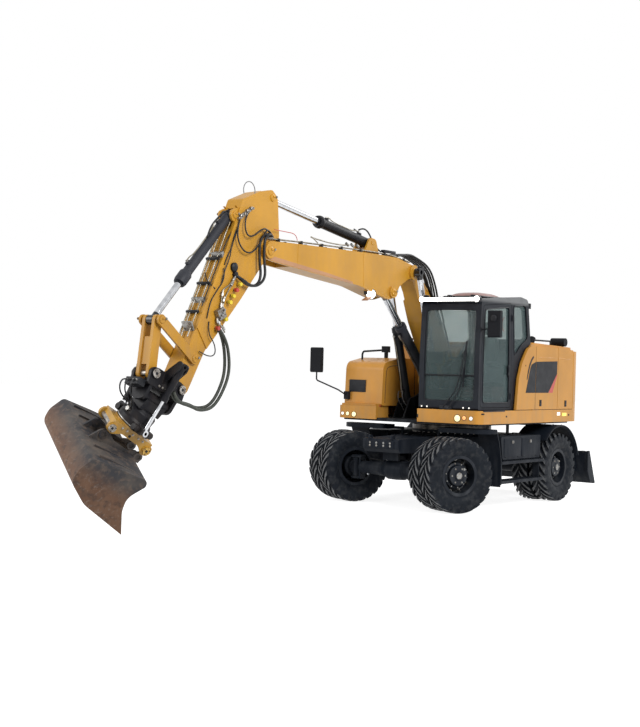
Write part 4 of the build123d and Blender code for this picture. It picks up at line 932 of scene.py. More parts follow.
screen_loop = [(SCREEN_X + 0.003, CAB_RIGHT + 0.082, 1.542), (SCREEN_X + 0.003, CAB_LEFT - 0.082, 1.542),
               (SCREEN_X - 0.024, CAB_LEFT - 0.082, 2.848), (SCREEN_X - 0.024, CAB_RIGHT + 0.082, 2.848)]
cross_rail = [(SCREEN_X + 0.004, CAB_RIGHT + 0.085, 1.907), (SCREEN_X + 0.004, CAB_LEFT - 0.085, 1.907)]
beads("windscreen_seal", [rounded_loop(screen_loop, 0.06), cross_rail], 0.010, trim_black,
      "upper")
door_loop = on_side([(1.167, 1.53), (1.170, 2.20), (1.145, 2.85), (0.446, 2.915), (0.396, 1.53)],
                    CAB_LEFT + 0.001)
beads("door_seal", [rounded_loop(door_loop, 0.05)], 0.007, trim_black, "cab_door")
quarter_loop = on_side([(0.262, 2.20), (0.312, 2.945), (-0.06, 2.965), (-0.150, 2.48), (0.06, 2.37)],
                       CAB_LEFT + 0.001)
beads("quarter_seal", [rounded_loop(quarter_loop, 0.06)], 0.007, trim_black, "upper")

# Two parallel wiper arms from the foot of the screen, a blade on the long one.
bm = bmesh.new()
arm_lines = [[(1.310, 0.604, 1.440), (1.322, 0.700, 1.530), (1.318, 0.875, 1.759), (1.306, 0.954, 2.265)],
             [(1.310, 0.700, 1.430), (1.330, 0.770, 1.500), (1.322, 0.905, 1.730), (1.312, 0.962, 2.080)]]
hoses("wiper_arms", arm_lines, 0.017, trim_black, "upper")
add_block(bm, facing((1.296, 0.956, 2.07), (1, 0, 0)) @ spun(-4, "Z"), (0.016, 0.66, 0.022), 0.003)
for y in (0.604, 0.700):
    add_turned(bm, facing((1.286, y, 1.438), (1, 0, 0)),
               [(0.024, 0), (0.024, 0.030), (0.014, 0.036), (0, 0.036)], 18)
add_block(bm, moved(1.296, 0.652, 1.448), (0.026, 0.20, 0.050), 0.008)
piece("wiper_blade", bm, trim_black, "upper")

# Lamp strip over the screen, a lamp drum at each end, and small fixing heads at the cab's foot, which glow as
# a painted glint.
glow_white = lit("glow_white", (1.0, 0.97, 0.90), 4.0)
bm = bmesh.new()
for k in range(5):
    add_block(bm, moved(1.340, 0.322 + 0.183 * k, 2.986), (0.022, 0.181, 0.050), 0.006, 1)
for y in (0.236, 1.142):
    place = facing((1.330, y, 2.990), (1, 0, 0))
    add_turned(bm, place, [(0.050, -0.05), (0.050, 0.006), (0.043, 0.010)], 24, 0)
    add_turned(bm, place, [(0.043, 0.008), (0.030, 0.014), (0, 0.016)], 24, 1)
for y in (0.30, 0.68, 1.06):
    add_block(bm, moved(1.300, y, 3.036), (0.060, 0.050, 0.030), 0.006, 0)
piece("lamp_strip", bm, [trim_black, glow_white], "upper")
# The fixing heads glow white: painted glint.
bm = bmesh.new()
for y in (0.250, 0.340, 0.940, 1.036):
    add_turned(bm, facing((1.288, y, 1.450), (1, 0, 0)),
               [(0.011, 0), (0.011, 0.004), (0.006, 0.007), (0, 0.007)], 14)
piece("cab_foot_heads", bm, white_lens_and_glint, "upper")

# Roof: tinted hatch dome in its rubber edge.
hatch_red = two_tone("hatch_dome", (0.20, 0.055, 0.035), (0.26, 0.10, 0.08), (5, 0.4, 0.6), 0.25)
bm = bmesh.new()
steps = 10
grid = []
for i in range(steps + 1):
    row = []
    for j in range(steps + 1):
        u, v = 2 * i / steps - 1, 2 * j / steps - 1
        lift = 0.075 * (1 - u ** 4) * (1 - v ** 4)
        row.append(bm.verts.new((0.60 + 0.37 * u, MID_Y + 0.31 * v, 3.046 + lift)))
    grid.append(row)
for i in range(steps):
    for j in range(steps):
        bm.faces.new((grid[i][j], grid[i + 1][j], grid[i + 1][j + 1], grid[i][j + 1]))
piece("roof_hatch", bm, hatch_red, "upper", 60)
hatch_loop = [(0.225, MID_Y - 0.315, 3.050), (0.975, MID_Y - 0.315, 3.044), (0.975, MID_Y + 0.315, 3.044),
              (0.225, MID_Y + 0.315, 3.050)]
beads("hatch_seal", [rounded_loop(hatch_loop, 0.05)], 0.016, trim_black, "upper")

# Mirrors: chromed glass in the housings' rear faces, and a small convex one under the right mirror.
mirror_chrome = two_tone("mirror_glass", (0.72, 0.75, 0.78), (0.66, 0.69, 0.72), (4, 0.4, 0.6), 0.03, 1.0)
bm = bmesh.new()
add_block(bm, moved(1.2245, 1.40, 2.64), (0.005, 0.165, 0.33), 0.001)
add_block(bm, moved(1.5395, -1.4425, 2.12), (0.005, 0.160, 0.25), 0.001)
add_block(bm, moved(1.5395, -1.4425, 1.945), (0.005, 0.160, 0.07), 0.001)
piece("mirror_glasses", bm, mirror_chrome, "upper")
bm = bmesh.new()
add_turned(bm, facing((1.290, 1.40, 2.72), (1, 0, 0)),
           [(0.045, 0), (0.045, 0.014), (0.034, 0.024), (0, 0.026)], 24)
add_turned(bm, facing((1.575, -1.440, 2.16), (0, 0, 1)), [(0.020, -0.05), (0.020, 0.05), (0, 0.052)], 16)
add_block(bm, moved(1.594, -1.440, 2.05), (0.022, 0.08, 0.10), 0.006)
piece("mirror_clamps", bm, trim_black, "upper")

# Door: outer latch, hinges and the red pull behind the pane; the grab rail beside it is on the cab.
bm = bmesh.new()
add_block(bm, moved(0.442, CAB_LEFT + 0.010, 2.00), (0.040, 0.020, 0.15), 0.006)
add_block(bm, moved(0.442, CAB_LEFT + 0.022, 2.01), (0.026, 0.010, 0.09), 0.004)
for z in (1.62, 2.76):
    add_turned(bm, facing((0.352, CAB_LEFT + 0.008, z), (0, 0, 1)), round_bar(0.013, -0.045, 0.045), 14)
piece("door_latch", bm, trim_black, "cab_door")
hoses("door_pull",
      [[(0.512, CAB_LEFT - 0.040, 2.565), (0.512, CAB_LEFT - 0.075, 2.580),
        (0.512, CAB_LEFT - 0.075, 2.750), (0.512, CAB_LEFT - 0.040, 2.767)]], 0.018, stripe_red,
      "cab_door")
hoses("front_grab_rail",
      [[(1.10, CAB_LEFT - 0.075, 1.62), (1.10, CAB_LEFT - 0.105, 1.64), (1.12, CAB_LEFT - 0.105, 2.10),
        (1.12, CAB_LEFT - 0.075, 2.12)]], 0.022, trim_black, "upper")

# --- Operator's station -------------------------------------------------------------------------
# A sprung chair of foam under woven cloth on a bellows, moulded consoles with joysticks, a steering
# column with its wheel, pedals, a screen and a rear speaker. All plastic is dark, with fine grain.

cloth, cloth_tree, cloth_shader = new_finish("woven_cloth", 0.85)
weave = cloth_tree.nodes.new("ShaderNodeTexChecker")
weave.inputs["Scale"].default_value = 900
cloth_tint = mixed(cloth_tree, (0.014, 0.015, 0.018), (0.030, 0.031, 0.035), weave.outputs["Fac"])
cloth_tree.links.new(cloth_tint, cloth_shader.inputs["Base Color"])
cloth_shader.inputs["Sheen Weight"].default_value = 0.3
rough_skin(cloth_tree, cloth_shader, 700, 0.3, 0.001)
bellows_red = two_tone("bellows_rubber", (0.10, 0.022, 0.014), (0.06, 0.015, 0.012), (9, 0.4, 0.6), 0.6)
moulding = paint("moulded_plastic", (0.022, 0.024, 0.028), 0.55, ROAD_FILM, 0.3, 2.4, 1.4, skin=0.3)


def pad(name, place, size, crown, dish=0.0):
    """Foam pad in its cover: rounded, crowned on its face, dished along the middle, with a welt."""
    bm = bmesh.new()
    bmesh.ops.create_cube(bm, size=2)
    bmesh.ops.subdivide_edges(bm, edges=bm.edges[:], cuts=11, use_grid_fill=True)
    for vert in bm.verts:
        x, y, z = vert.co
        squeeze = 1 - 0.10 * abs(x) ** 6 - 0.06 * abs(z) ** 4
        pinch = 1 - 0.08 * abs(y) ** 6 - 0.06 * abs(z) ** 4
        swell = crown * (1 - abs(x) ** 3) * (1 - abs(y) ** 3) - dish * (1 - y * y) ** 2 * (1 - x ** 4)
        groove = 0.006 * math.exp(-((abs(y) - 0.62) / 0.05) ** 2) if z > 0.8 and abs(x) < 0.9 else 0
        vert.co = (x * pinch * size[0] / 2, y * squeeze * size[1] / 2,
                   z * size[2] / 2 * (1 - 0.22 * max(abs(x), abs(y)) ** 8) + swell * (z > 0) - groove)
    bm.transform(place)
    obj = piece(name, bm, cloth, "upper", 70)
    return obj


chair = [pad("chair_cushion", moved(0.605, MID_Y, 1.865) @ spun(-4, "Y"), (0.52, 0.50, 0.115),
             0.022, 0.018)]
back_place = moved(0.342, MID_Y, 2.185) @ spun(78, "Y")
chair.append(pad("chair_back", back_place, (0.62, 0.48, 0.125), 0.026, 0.020))
chair.append(pad("chair_head_rest", moved(0.236, MID_Y, 2.610) @ spun(80, "Y"),
                 (0.185, 0.26, 0.085), 0.014))
for side in (-1, 1):
    chair.append(pad("chair_arm_rest_" + ("right" if side < 0 else "left"),
                     moved(0.56, MID_Y + side * 0.315, 2.085), (0.34, 0.085, 0.055), 0.008))

bm = bmesh.new()
for k in range(5):
    add_block(bm, moved(0.59, MID_Y, 1.605 + 0.034 * k),
              (0.40 - 0.012 * (k % 2), 0.42 - 0.012 * (k % 2), 0.030), 0.010)
add_block(bm, moved(0.60, MID_Y + 0.415, 1.66), (0.36, 0.02, 0.20), 0.01)
bellows = piece("chair_bellows", bm, bellows_red, "upper")
bm = bmesh.new()
add_block(bm, moved(0.59, MID_Y, 1.525), (0.40, 0.44, 0.10), 0.012)
add_block(bm, moved(0.60, MID_Y, 1.785), (0.46, 0.46, 0.050), 0.012)
add_block(bm, moved(0.30, MID_Y, 2.17) @ spun(-12, "Y"), (0.035, 0.44, 0.56), 0.014)
for y in (-0.07, 0.07):
    add_turned(bm, facing((0.247, MID_Y + y, 2.50), (-0.1, 0, 1)), round_bar(0.007, -0.06, 0.06), 10)
for side in (-1, 1):
    y = MID_Y + side * 0.315
    add_block(bm, moved(0.58, y, 1.93), (0.50, 0.10, 0.22), 0.022)
    add_block(bm, moved(0.80, y, 2.005) @ spun(12, "Y"), (0.17, 0.105, 0.09), 0.020)
    add_turned(bm, facing((0.83, y, 2.05), (0.08, 0, 1)),
               [(0.034, 0), (0.034, 0.012), (0.012, 0.034), (0.011, 0.080), (0.021, 0.098), (0.023, 0.170),
                (0.012, 0.188), (0, 0.190)], 20)
    add_block(bm, moved(0.836, y, 2.245), (0.030, 0.044, 0.030), 0.008)
    add_block(bm, moved(1.06, MID_Y + side * 0.115, 1.53) @ spun(-28, "Y"), (0.20, 0.085, 0.016), 0.005)
    add_block(bm, moved(1.13, MID_Y + side * 0.115, 1.51), (0.05, 0.04, 0.08), 0.004)
add_block(bm, moved(1.10, MID_Y, 1.72) @ spun(-8, "Y"), (0.12, 0.15, 0.50), 0.035)
add_block(bm, moved(1.065, MID_Y, 2.02) @ spun(-14, "Y"), (0.11, 0.13, 0.15), 0.030)
wheel_place = facing((1.032, MID_Y, 2.118), (-0.24, 0, 0.97))
ring = [(0.170 + 0.014 * math.cos(math.radians(a)), 0.014 * math.sin(math.radians(a)))
        for a in range(0, 361, 45)]
add_turned(bm, wheel_place, ring, 36)
for a in (90, 210, 330):
    place = wheel_place @ spun(a, "Z") @ moved(0.085, 0, -0.004)
    add_block(bm, place, (0.150, 0.026, 0.012), 0.003)
add_turned(bm, wheel_place, [(0.045, -0.03), (0.045, 0.006), (0.030, 0.014), (0, 0.014)], 20)
add_block(bm, moved(1.135, CAB_RIGHT + 0.16, 2.16) @ spun(28, "Z"), (0.035, 0.235, 0.165), 0.010)
hinge_y = CAB_RIGHT + 0.10
add_turned(bm, facing((1.16, hinge_y, 1.98), (0, 0, 1)), round_bar(0.015, -0.12, 0.12), 12)
add_block(bm, moved(0.16, CAB_LEFT - 0.14, 2.31), (0.28, 0.16, 0.06), 0.012)
add_block(bm, moved(0.02, MID_Y, 2.43), (0.20, 0.72, 0.05), 0.014)
add_block(bm, moved(1.10, CAB_LEFT - 0.085, 1.61), (0.16, 0.04, 0.20), 0.016)
station = piece("operator_fittings", bm, moulding, "upper", 32)
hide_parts("operator_station")
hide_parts("operator_station")
for part in chair:
    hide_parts("operator_station")

bm = bmesh.new()
add_turned(bm, facing((1.116, CAB_LEFT - 0.064, 1.613), (0, 1, 0)),
           [(0.056, 0), (0.056, 0.006), (0.048, 0.010), (0.044, 0.004), (0.018, 0.001), (0.014, 0.006),
            (0, 0.008)], 28)
add_block(bm, moved(0.507, CAB_LEFT - 0.060, 1.585), (0.052, 0.004, 0.034), 0.001)
piece("speaker_and_plate", bm, zinc, "upper")
screen_on = lit("display", (0.05, 0.075, 0.085), 0.35, 0.15)
bm = bmesh.new()
add_block(bm, moved(1.113, CAB_RIGHT + 0.172, 2.16) @ spun(28, "Z"), (0.004, 0.20, 0.125), 0.001)
piece("display_face", bm, screen_on, "upper")

# --- Booms --------------------------------------------------------------------------------------
# Box sections welded from plate, ground at the seams and sprayed yellow. Steel pipes in clamps run along
# the top to the cylinders, and bundles of braided hose cross the foot, the knee and the tip.

ARM_Y = -0.17
LIFT_YS = (ARM_Y - 0.265, ARM_Y + 0.265)
arm_yellow = paint("arm_yellow", (0.56, 0.275, 0.022), 0.42, (0.30, 0.17, 0.08), 0.5, 4.2, 1.6, coat=0.08,
                   skin=0.06, shine=0.3)
dress(arm_yellow, "base_boom", "upper_boom", "stick", "guide_levers", "bucket_link")


BLACK_EYE = (0.010, 0.010, 0.012)


def rod_finish(name, eyes=(), painted=0.0):
    """Hard chrome, with black enamel over the eye at the rod's end; eyes are points and painted a radius."""
    material, tree, shader = new_finish(name, 0.12, 0.0 if eyes else 1.0)
    bright = mixed(tree, (0.58, 0.59, 0.61), (0.40, 0.41, 0.43), blotches(tree, 14, 0.45, 0.7))
    if not eyes:
        tree.links.new(bright, shader.inputs["Base Color"])
        return material
    place = tree.nodes.new("ShaderNodeTexCoord")
    nearest = None
    for eye in eyes:
        reach = tree.nodes.new("ShaderNodeVectorMath")
        reach.operation = "DISTANCE"
        reach.inputs[1].default_value = eye
        tree.links.new(place.outputs["Object"], reach.inputs[0])
        if nearest:
            least = tree.nodes.new("ShaderNodeMath")
            least.operation = "MINIMUM"
            tree.links.new(nearest, least.inputs[0])
            tree.links.new(reach.outputs["Value"], least.inputs[1])
            nearest = least.outputs[0]
        else:
            nearest = reach.outputs["Value"]
    bare = tree.nodes.new("ShaderNodeMapRange")
    bare.inputs["From Min"].default_value = painted
    bare.inputs["From Max"].default_value = painted + 0.002
    tree.links.new(nearest, bare.inputs["Value"])
    tree.links.new(mixed(tree, BLACK_EYE, bright, bare.outputs["Result"]), shader.inputs["Base Color"])
    tree.links.new(bare.outputs["Result"], shader.inputs["Metallic"])
    return material


def side_pin(joint):
    """Side-view place (x, z) of a joint's pin."""
    place = next(j["pos_m"] for j in frame["joints"] if j["name"] == joint)
    return place[0], place[2]


KNEE = side_pin("boom_fold")
LINK_TOP = side_pin("bucket_link_pivot")
STICK_HEEL = (4.487, 4.100)
STICK_BASE = (2.20, 3.74)
ADJUST_TOP = (1.750, 3.070)
dress(rod_finish("blade_chrome"), "blade_rods", "steering_rod")
dress(rod_finish("lift_chrome", [(KNEE[0], y, KNEE[1]) for y in LIFT_YS], 0.115), "lift_rods")
dress(rod_finish("adjust_chrome", [(ADJUST_TOP[0], ARM_Y, ADJUST_TOP[1])], 0.125), "adjust_rod")
dress(rod_finish("stick_chrome", [(STICK_HEEL[0], ARM_Y, STICK_HEEL[1])], 0.115), "stick_rod")
dress(rod_finish("bucket_chrome", [(LINK_TOP[0], ARM_Y, LINK_TOP[1])], 0.105), "bucket_rod")
dress(rod_finish("tilt_chrome"), "tilt_rod_left", "tilt_rod_right")
cylinder_black = paint("cylinder_black", (0.008, 0.008, 0.010), 0.42, ROAD_FILM, 0.35, 4.0, 1.5, shine=0.15)
cylinder_grey = paint("cylinder_grey", (0.030, 0.032, 0.040), 0.5, (0.08, 0.08, 0.08), 0.4, 4.0,
                      1.8, shine=0.2)
dress(cylinder_black, "lift_barrels", "stick_barrel")
dress(cylinder_grey, "adjust_barrel", "bucket_barrel")

steel_line = two_tone("steel_line", (0.20, 0.17, 0.11), (0.34, 0.32, 0.28), (10, 0.4, 0.65), 0.35, 0.6)


def smooth_route(route, steps=7):
    """Points of a quadratic B-spline through the middles of a route's legs, from its first to last point."""
    route = [Vector(p) for p in route]
    middles = [route[0]] + [(a + b) / 2 for a, b in zip(route, route[1:])][1:-1] + [route[-1]]
    points = [route[0]]
    for start, bend, end in zip(middles, route[1:-1], middles[1:]):
        for k in range(1, steps + 1):
            t = k / steps
            points.append(start * (1 - t) ** 2 + bend * 2 * t * (1 - t) + end * t * t)
    return points


def add_tube(bm, route, radius, sides=10):
    """Round tube swept along a smoothed route, its ends closed."""
    points = smooth_route(route)
    normal = None
    rings = []
    for i, point in enumerate(points):
        ahead = (points[min(i + 1, len(points) - 1)] - points[max(i - 1, 0)]).normalized()
        if normal is None:
            normal = ahead.orthogonal().normalized()
        normal = (normal - ahead * normal.dot(ahead)).normalized()
        other = ahead.cross(normal)
        rings.append([bm.verts.new(point + (normal * math.cos(a) + other * math.sin(a)) * radius)
                      for a in (2 * math.pi * k / sides for k in range(sides))])
    for near, far in zip(rings, rings[1:]):
        for k in range(sides):
            bm.faces.new((near[k], near[(k + 1) % sides], far[(k + 1) % sides], far[k]))
    for ring in (rings[0], rings[-1]):
        bm.faces.new(ring)


HOSE_EDGE = 50


def flexing(name, routes, diameter, material=hose_rubber):
    """Hoses that cross a joint, swept along their routes as one mesh that rides on no body."""
    bm = bmesh.new()
    for route in routes:
        add_tube(bm, route, diameter / 2)
    obj = mesh_object(name, bm, material, HOSE_EDGE)
    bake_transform(obj)
    return obj


def top_of_boom(x):
    """Height of the upper boom's top plate at x."""
    table = ((1.20, 3.490), (1.63, 3.566), (2.14, 3.580), (2.99, 3.572), (4.00, 3.560), (4.56, 3.545))
    for (x0, z0), (x1, z1) in zip(table, table[1:]):
        if x <= x1:
            return z0 + (z1 - z0) * (x - x0) / (x1 - x0)
    return table[-1][1]


PIPE_YS = (-0.024, -0.046, -0.294, -0.316)
pipe_lines = []
for k, y in enumerate(PIPE_YS):
    run = [(x, y, top_of_boom(x) + 0.030) for x in (4.56, 4.0, 3.4, 2.8, 2.2, 1.7, 1.28)]
    pipe_lines.append([(4.62, y, run[0][2] + 0.002)] + run)
pipe_lines.append([(3.56, -0.010, 3.610), (3.68, -0.010, 3.680), (3.74, -0.010, 3.672),
                   (3.2, -0.010, 3.625), (2.90, -0.030, 3.640)])
hoses("boom_pipes", pipe_lines, 0.018, steel_line, "upper_boom")
hoses("boom_service_line",
      [[(4.50, 0.0, 3.694), (4.30, 0.0, 3.690), (4.03, 0.0, 3.683), (4.02, 0.0, 3.600)]], 0.010, stripe_red,
      "upper_boom")

bm = bmesh.new()
for x in (1.45, 1.95, 2.55, 3.00, 3.45, 3.90, 4.38):
    for y in (-0.035, -0.305):
        add_block(bm, moved(x, y, top_of_boom(x) + 0.022), (0.034, 0.056, 0.044), 0.005)
for k in range(4):
    for y in (-0.020, -0.052):
        add_turned(bm, facing((4.52 + 0.035 * k, y, 3.582), (1, 0, 0)),
                   round_bar(0.017, -0.012, 0.012), 6, 1)
add_block(bm, moved(1.84, -0.030, 3.640), (0.30, 0.06, 0.036), 0.006)
for x in (2.62, 2.74, 2.86):
    add_turned(bm, facing((x, -0.028, 3.655), (0.9, 0, 0.4)), round_bar(0.021, -0.03, 0.03), 6, 1)
piece("boom_clamps", bm, [trim_black, zinc], "upper_boom")

# Weld seams: two on each side, ground flat and sprayed over, and a strip of painted shade along the lower
# flange.
seams = []
for y in (ARM_Y - 0.160, ARM_Y + 0.160):
    seams.append([(3.980, y, 3.556), (3.979, y, 3.262)])
    seams.append([(2.492, y, 3.570), (2.470, y, 3.112)])
hoses("boom_seams", seams, 0.007, arm_yellow, "upper_boom")
bm = bmesh.new()
flange = [(4.60, 3.322), (4.48, 3.296), (3.32, 3.186), (2.72, 3.124), (2.74, 3.155), (3.30, 3.228),
          (4.58, 3.366)]
for y, step in ((ARM_Y + 0.1598, 0.0022), (ARM_Y - 0.1598, -0.0022)):
    add_plate(bm, [(x, y, z) for x, z in flange], step, 0)
# Painted shade: the strips' brown, darker again towards the bottom, stands for the shade on the boom's
# underside.
underside_painted_shade = paint("underside_painted_shade", (0.46, 0.23, 0.11), 0.5, (0.30, 0.15, 0.08), 0.6, 3.5, 3.0)
piece("boom_painted_shade_strips", bm, underside_painted_shade, "upper_boom")

# Lamp under the boom: black can on a bracket with a lit lens.
bm = bmesh.new()
lamp_place = facing((2.23, -0.045, 3.020), (1.0, 0.45, -0.22))
add_turned(bm, lamp_place,
           [(0, -0.09), (0.050, -0.085), (0.070, -0.03), (0.074, 0.012), (0.066, 0.018)], 28, 0)
add_turned(bm, lamp_place, [(0.066, 0.014), (0.045, 0.024), (0, 0.028)], 28, 1)
add_block(bm, moved(2.25, -0.10, 3.065), (0.09, 0.05, 0.12), 0.006, 0)
# The bracket plate under the lamp takes the same brown painted shade.
add_block(bm, moved(2.29, -0.06, 2.955) @ spun(25, "Y"), (0.16, 0.10, 0.012), 0.003, 2)
piece("boom_lamp", bm, [trim_black, glow_white, underside_painted_shade], "upper_boom")


def pin_caps(bm, pin, half, radius):
    """Both ends of a pin across the arm: cap, the keeper plate across it and the plate's bolt."""
    for outward in (-1, 1):
        place = facing((pin[0], ARM_Y + outward * half, pin[1]), (0, outward, 0))
        add_turned(bm, place, [(radius, -0.01), (radius, 0.008), (radius * 0.85, 0.013), (0, 0.013)], 28)
        add_block(bm, place @ moved(radius * 0.55, radius * 0.30, 0.017),
                  (radius * 1.5, radius * 0.42, 0.009), 0.002)
        add_bolt(bm, place @ moved(radius * 1.1, radius * 0.30, 0.021), 0.022, 0.012, 1)


def cross_pin(bm, pin, half, radius, steps=24, material=0):
    """Plain round pin across the arm."""
    add_turned(bm, facing((pin[0], ARM_Y, pin[1]), (0, 1, 0)), round_bar(radius, -half, half),
               steps, material)


BOOM_BOSS = 0.1905
TIP = side_pin("stick_swing")
FOOT = side_pin("boom_lift")
LEVER = side_pin("guide_lever_pivot")
bm = bmesh.new()
for pin, radius in ((KNEE, 0.062), (ADJUST_TOP, 0.052), (TIP, 0.056)):
    pin_caps(bm, pin, BOOM_BOSS, radius)
for pin, half, radius in ((KNEE, 0.185, 0.045), (TIP, 0.185, 0.045), (STICK_BASE, 0.118, 0.030)):
    cross_pin(bm, pin, half, radius)
piece("boom_pins", bm, [arm_yellow, zinc], "upper_boom")
bm = bmesh.new()
pin_caps(bm, FOOT, 0.1525, 0.070)
cross_pin(bm, (0.45, 1.80), 0.128, 0.035)
piece("foot_pins", bm, [arm_yellow, zinc], "base_boom")

# Knee: a round black block of fittings on the base boom's rear corner, and the hoses that arch over it.
bm = bmesh.new()
for y in (-0.04, -0.16, -0.28):
    add_turned(bm, facing((0.965, y, 3.440), (0, 1, 0)),
               [(0, -0.045), (0.050, -0.045), (0.062, -0.02), (0.062, 0.02), (0.050, 0.045),
                (0, 0.045)], 24, 0)
for k in range(5):
    y = -0.035 - 0.062 * k
    add_turned(bm, facing((0.985, y, 3.470), (-0.5, 0, 1)), round_bar(0.020, -0.02, 0.03), 6, 1)
    add_turned(bm, facing((0.955, y, 3.395), (-0.5, 0, -1)), round_bar(0.018, -0.02, 0.04), 6, 1)
add_block(bm, moved(1.00, -0.16, 3.43), (0.05, 0.30, 0.08), 0.008, 0)
for s in (0.62, 1.12):
    ux, uz = 0.5559, 0.8312
    x, z = FOOT[0] + ux * s - uz * 0.352, FOOT[1] + uz * s + ux * 0.352
    add_block(bm, facing((x, ARM_Y, z), (-uz, 0, ux)), (0.26, 0.05, 0.060), 0.008, 0)
piece("knee_fittings", bm, [trim_black, zinc], "base_boom")

knee_routes = []
for k, (y, swing) in enumerate(((-0.030, 0.00), (-0.090, 0.03), (-0.150, 0.07), (-0.215, 0.11),
                                (-0.280, 0.15))):
    knee_routes.append([(1.60, y, 3.600), (1.33, y, 3.660), (1.06, y, 3.610 + swing * 0.3),
                        (0.72 - swing, y, 3.500), (0.54 - swing, y, 3.250), (0.44 - swing * 0.6, y, 2.980),
                        (0.335, y, 2.830), (0.26, y, 2.700)])
flexing("knee_hoses", knee_routes, 0.030)
manifold_routes = [[(0.94, y, 3.40), (0.86, y, 3.30), (0.80, y, 3.20), (0.70, y, 3.10), (0.52, y, 2.86),
                    (0.40, y, 2.66)] for y in (-0.010, 0.016)]
hoses("knee_drops", manifold_routes, 0.024, hose_rubber, "base_boom")
foot_routes = []
for k in range(5):
    y = -0.050 - 0.06 * k
    foot_routes.append([(0.262, y, 2.703), (0.190, y, 2.600), (0.110, y, 2.430), (0.00, y, 2.200),
                        (-0.120, y, 2.00), (-0.190, y, 1.80), (-0.180, y, 1.52)])
flexing("foot_hoses", foot_routes, 0.030)

# --- Cylinders ----------------------------------------------------------------------------------
# Honed steel barrels in black or grey enamel, with a gland nut, ports for the hoses and a steel pipe
# along the back of each. The rods are hard-chromed, with a wiper seal where they enter.


def along_cylinder(base, eye, y, s, lift=0.0, side=0.0):
    """Point in space: s along a cylinder from its base pin, lifted from its axis and shifted sideways."""
    length = math.hypot(eye[0] - base[0], eye[1] - base[1])
    ux, uz = (eye[0] - base[0]) / length, (eye[1] - base[1]) / length
    return Vector((base[0] + ux * s - uz * lift, y + side, base[1] + uz * s + ux * lift))


def cylinder_trim(name, base, eye, ys, barrel, outer, rod, body, back, sleeve=0.0,
                  finish=cylinder_black):
    """Gland ring, wiper, ports and pipe for the barrels of one kind; back is the side of the pipe."""
    bm = bmesh.new()
    lines = []
    for y in ys:
        start, ahead = along_cylinder(base, eye, y, 0), along_cylinder(base, eye, y, 1)
        axis = facing(start, ahead - start, (0, 1, 0))
        add_turned(bm, axis @ moved(0, 0, barrel),
                   [(rod + 0.004, -0.01), (outer * 0.80, -0.01), (outer * 0.80, 0.016),
                    (rod + 0.012, 0.024), (rod + 0.002, 0.024)], 28, 1)
        if sleeve:
            add_turned(bm, axis @ moved(0, 0, barrel - sleeve),
                       [(outer, -0.02), (outer * 1.30, 0.02), (outer * 1.30, sleeve - 0.03),
                        (outer * 1.15, sleeve + 0.004), (outer * 0.80, sleeve + 0.006)], 32, 0)
        port = barrel - 0.11 - sleeve
        for s in (0.20, port):
            spot = along_cylinder(base, eye, y, s, back * outer * 0.96)
            outward = along_cylinder(base, eye, y, s, back) - along_cylinder(base, eye, y, s)
            place = facing(spot, outward, ahead - start)
            add_block(bm, place @ moved(0, 0, 0.010), (0.050, 0.060, 0.036), 0.005, 0)
            add_turned(bm, place @ moved(0, 0, 0.024), [(0.019, 0), (0.019, 0.022), (0, 0.024)], 6, 2)
        lines.append([along_cylinder(base, eye, y, s, back * (outer + lift))
                      for s, lift in ((0.20, 0.040), (0.26, 0.046), (0.34, 0.012), (port - 0.15, 0.012),
                                      (port - 0.06, 0.046), (port, 0.040))])
    piece(name + "_ports", bm, [finish, trim_black, zinc], body)
    hoses(name + "_pipes", lines, 0.016, steel_line, body)


LIFT_FEET = side_pin("lift_cylinders_pivot")
cylinder_trim("lift", LIFT_FEET, KNEE, LIFT_YS, 1.165, 0.066, 0.044, "lift_barrels", -1)
ADJUST_FOOT = side_pin("adjust_cylinder_pivot")
cylinder_trim("adjust", ADJUST_FOOT, ADJUST_TOP, (ARM_Y,), 1.160, 0.078, 0.050, "adjust_barrel", -1)
STICK_FOOT = side_pin("stick_cylinder_pivot")
cylinder_trim("stick_cylinder", STICK_FOOT, STICK_HEEL, (ARM_Y,), 1.184, 0.068, 0.046, "stick_barrel", 1,
              0.08)
CURL_FOOT = side_pin("bucket_cylinder_pivot")
cylinder_trim("bucket_cylinder", CURL_FOOT, LINK_TOP, (ARM_Y,), 1.236, 0.062, 0.041, "bucket_barrel", 1,
              0.17, cylinder_grey)

LIFT_HOSE_FROM = (0.61, 1.48)
LIFT_HOSE_TO = (1.21, 3.39)
lift_lines = []
for y in LIFT_YS:
    for shift in (-0.035, 0.035):
        lift_lines.append([along_cylinder(LIFT_HOSE_FROM, LIFT_HOSE_TO, y, s, lift, shift * spread)
                           for s, lift, spread in ((0.205, -0.125, 1), (0.17, -0.170, 1),
                                                   (0.05, -0.150, 1.3))] + [(0.70, y + shift * 1.2, 1.44),
                                                                            (0.62, y + shift * 1.5, 1.36)])
grey_hose = two_tone("grey_hose", (0.20, 0.20, 0.20), (0.10, 0.10, 0.11), (20, 0.4, 0.7), 0.5)
flexing("lift_hoses", lift_lines, 0.016,
        grey_hose)
stick_foot_lines = [[(1.96, y, 3.635), (2.14, y, 3.700), (2.26, y, 3.88), (2.42, y, 3.93),
                     tuple(along_cylinder(STICK_BASE, STICK_HEEL, ARM_Y + (y - ARM_Y) * 0.3, 0.26, 0.115))]
                    for y in (-0.085, -0.255)]
flexing("stick_cylinder_hoses", stick_foot_lines, 0.022)
bucket_lines = [[along_cylinder((5.20, 3.81), (6.50, 2.465), ARM_Y, s, lift, 0.02)
                 for s, lift in ((-0.02, 0.060), (0.06, 0.100), (0.20, 0.120), (0.32, 0.130), (0.42, 0.110),
                                 (0.50, 0.078))]]
hoses("bucket_cylinder_line", bucket_lines, 0.022, hose_rubber, "bucket_barrel")

# --- Stick --------------------------------------------------------------------------------------
# The stick carries pipes down its front face to the tool, quick couplings under coloured caps on its
# left side, a zinc valve block, and a wire loop at its heel.

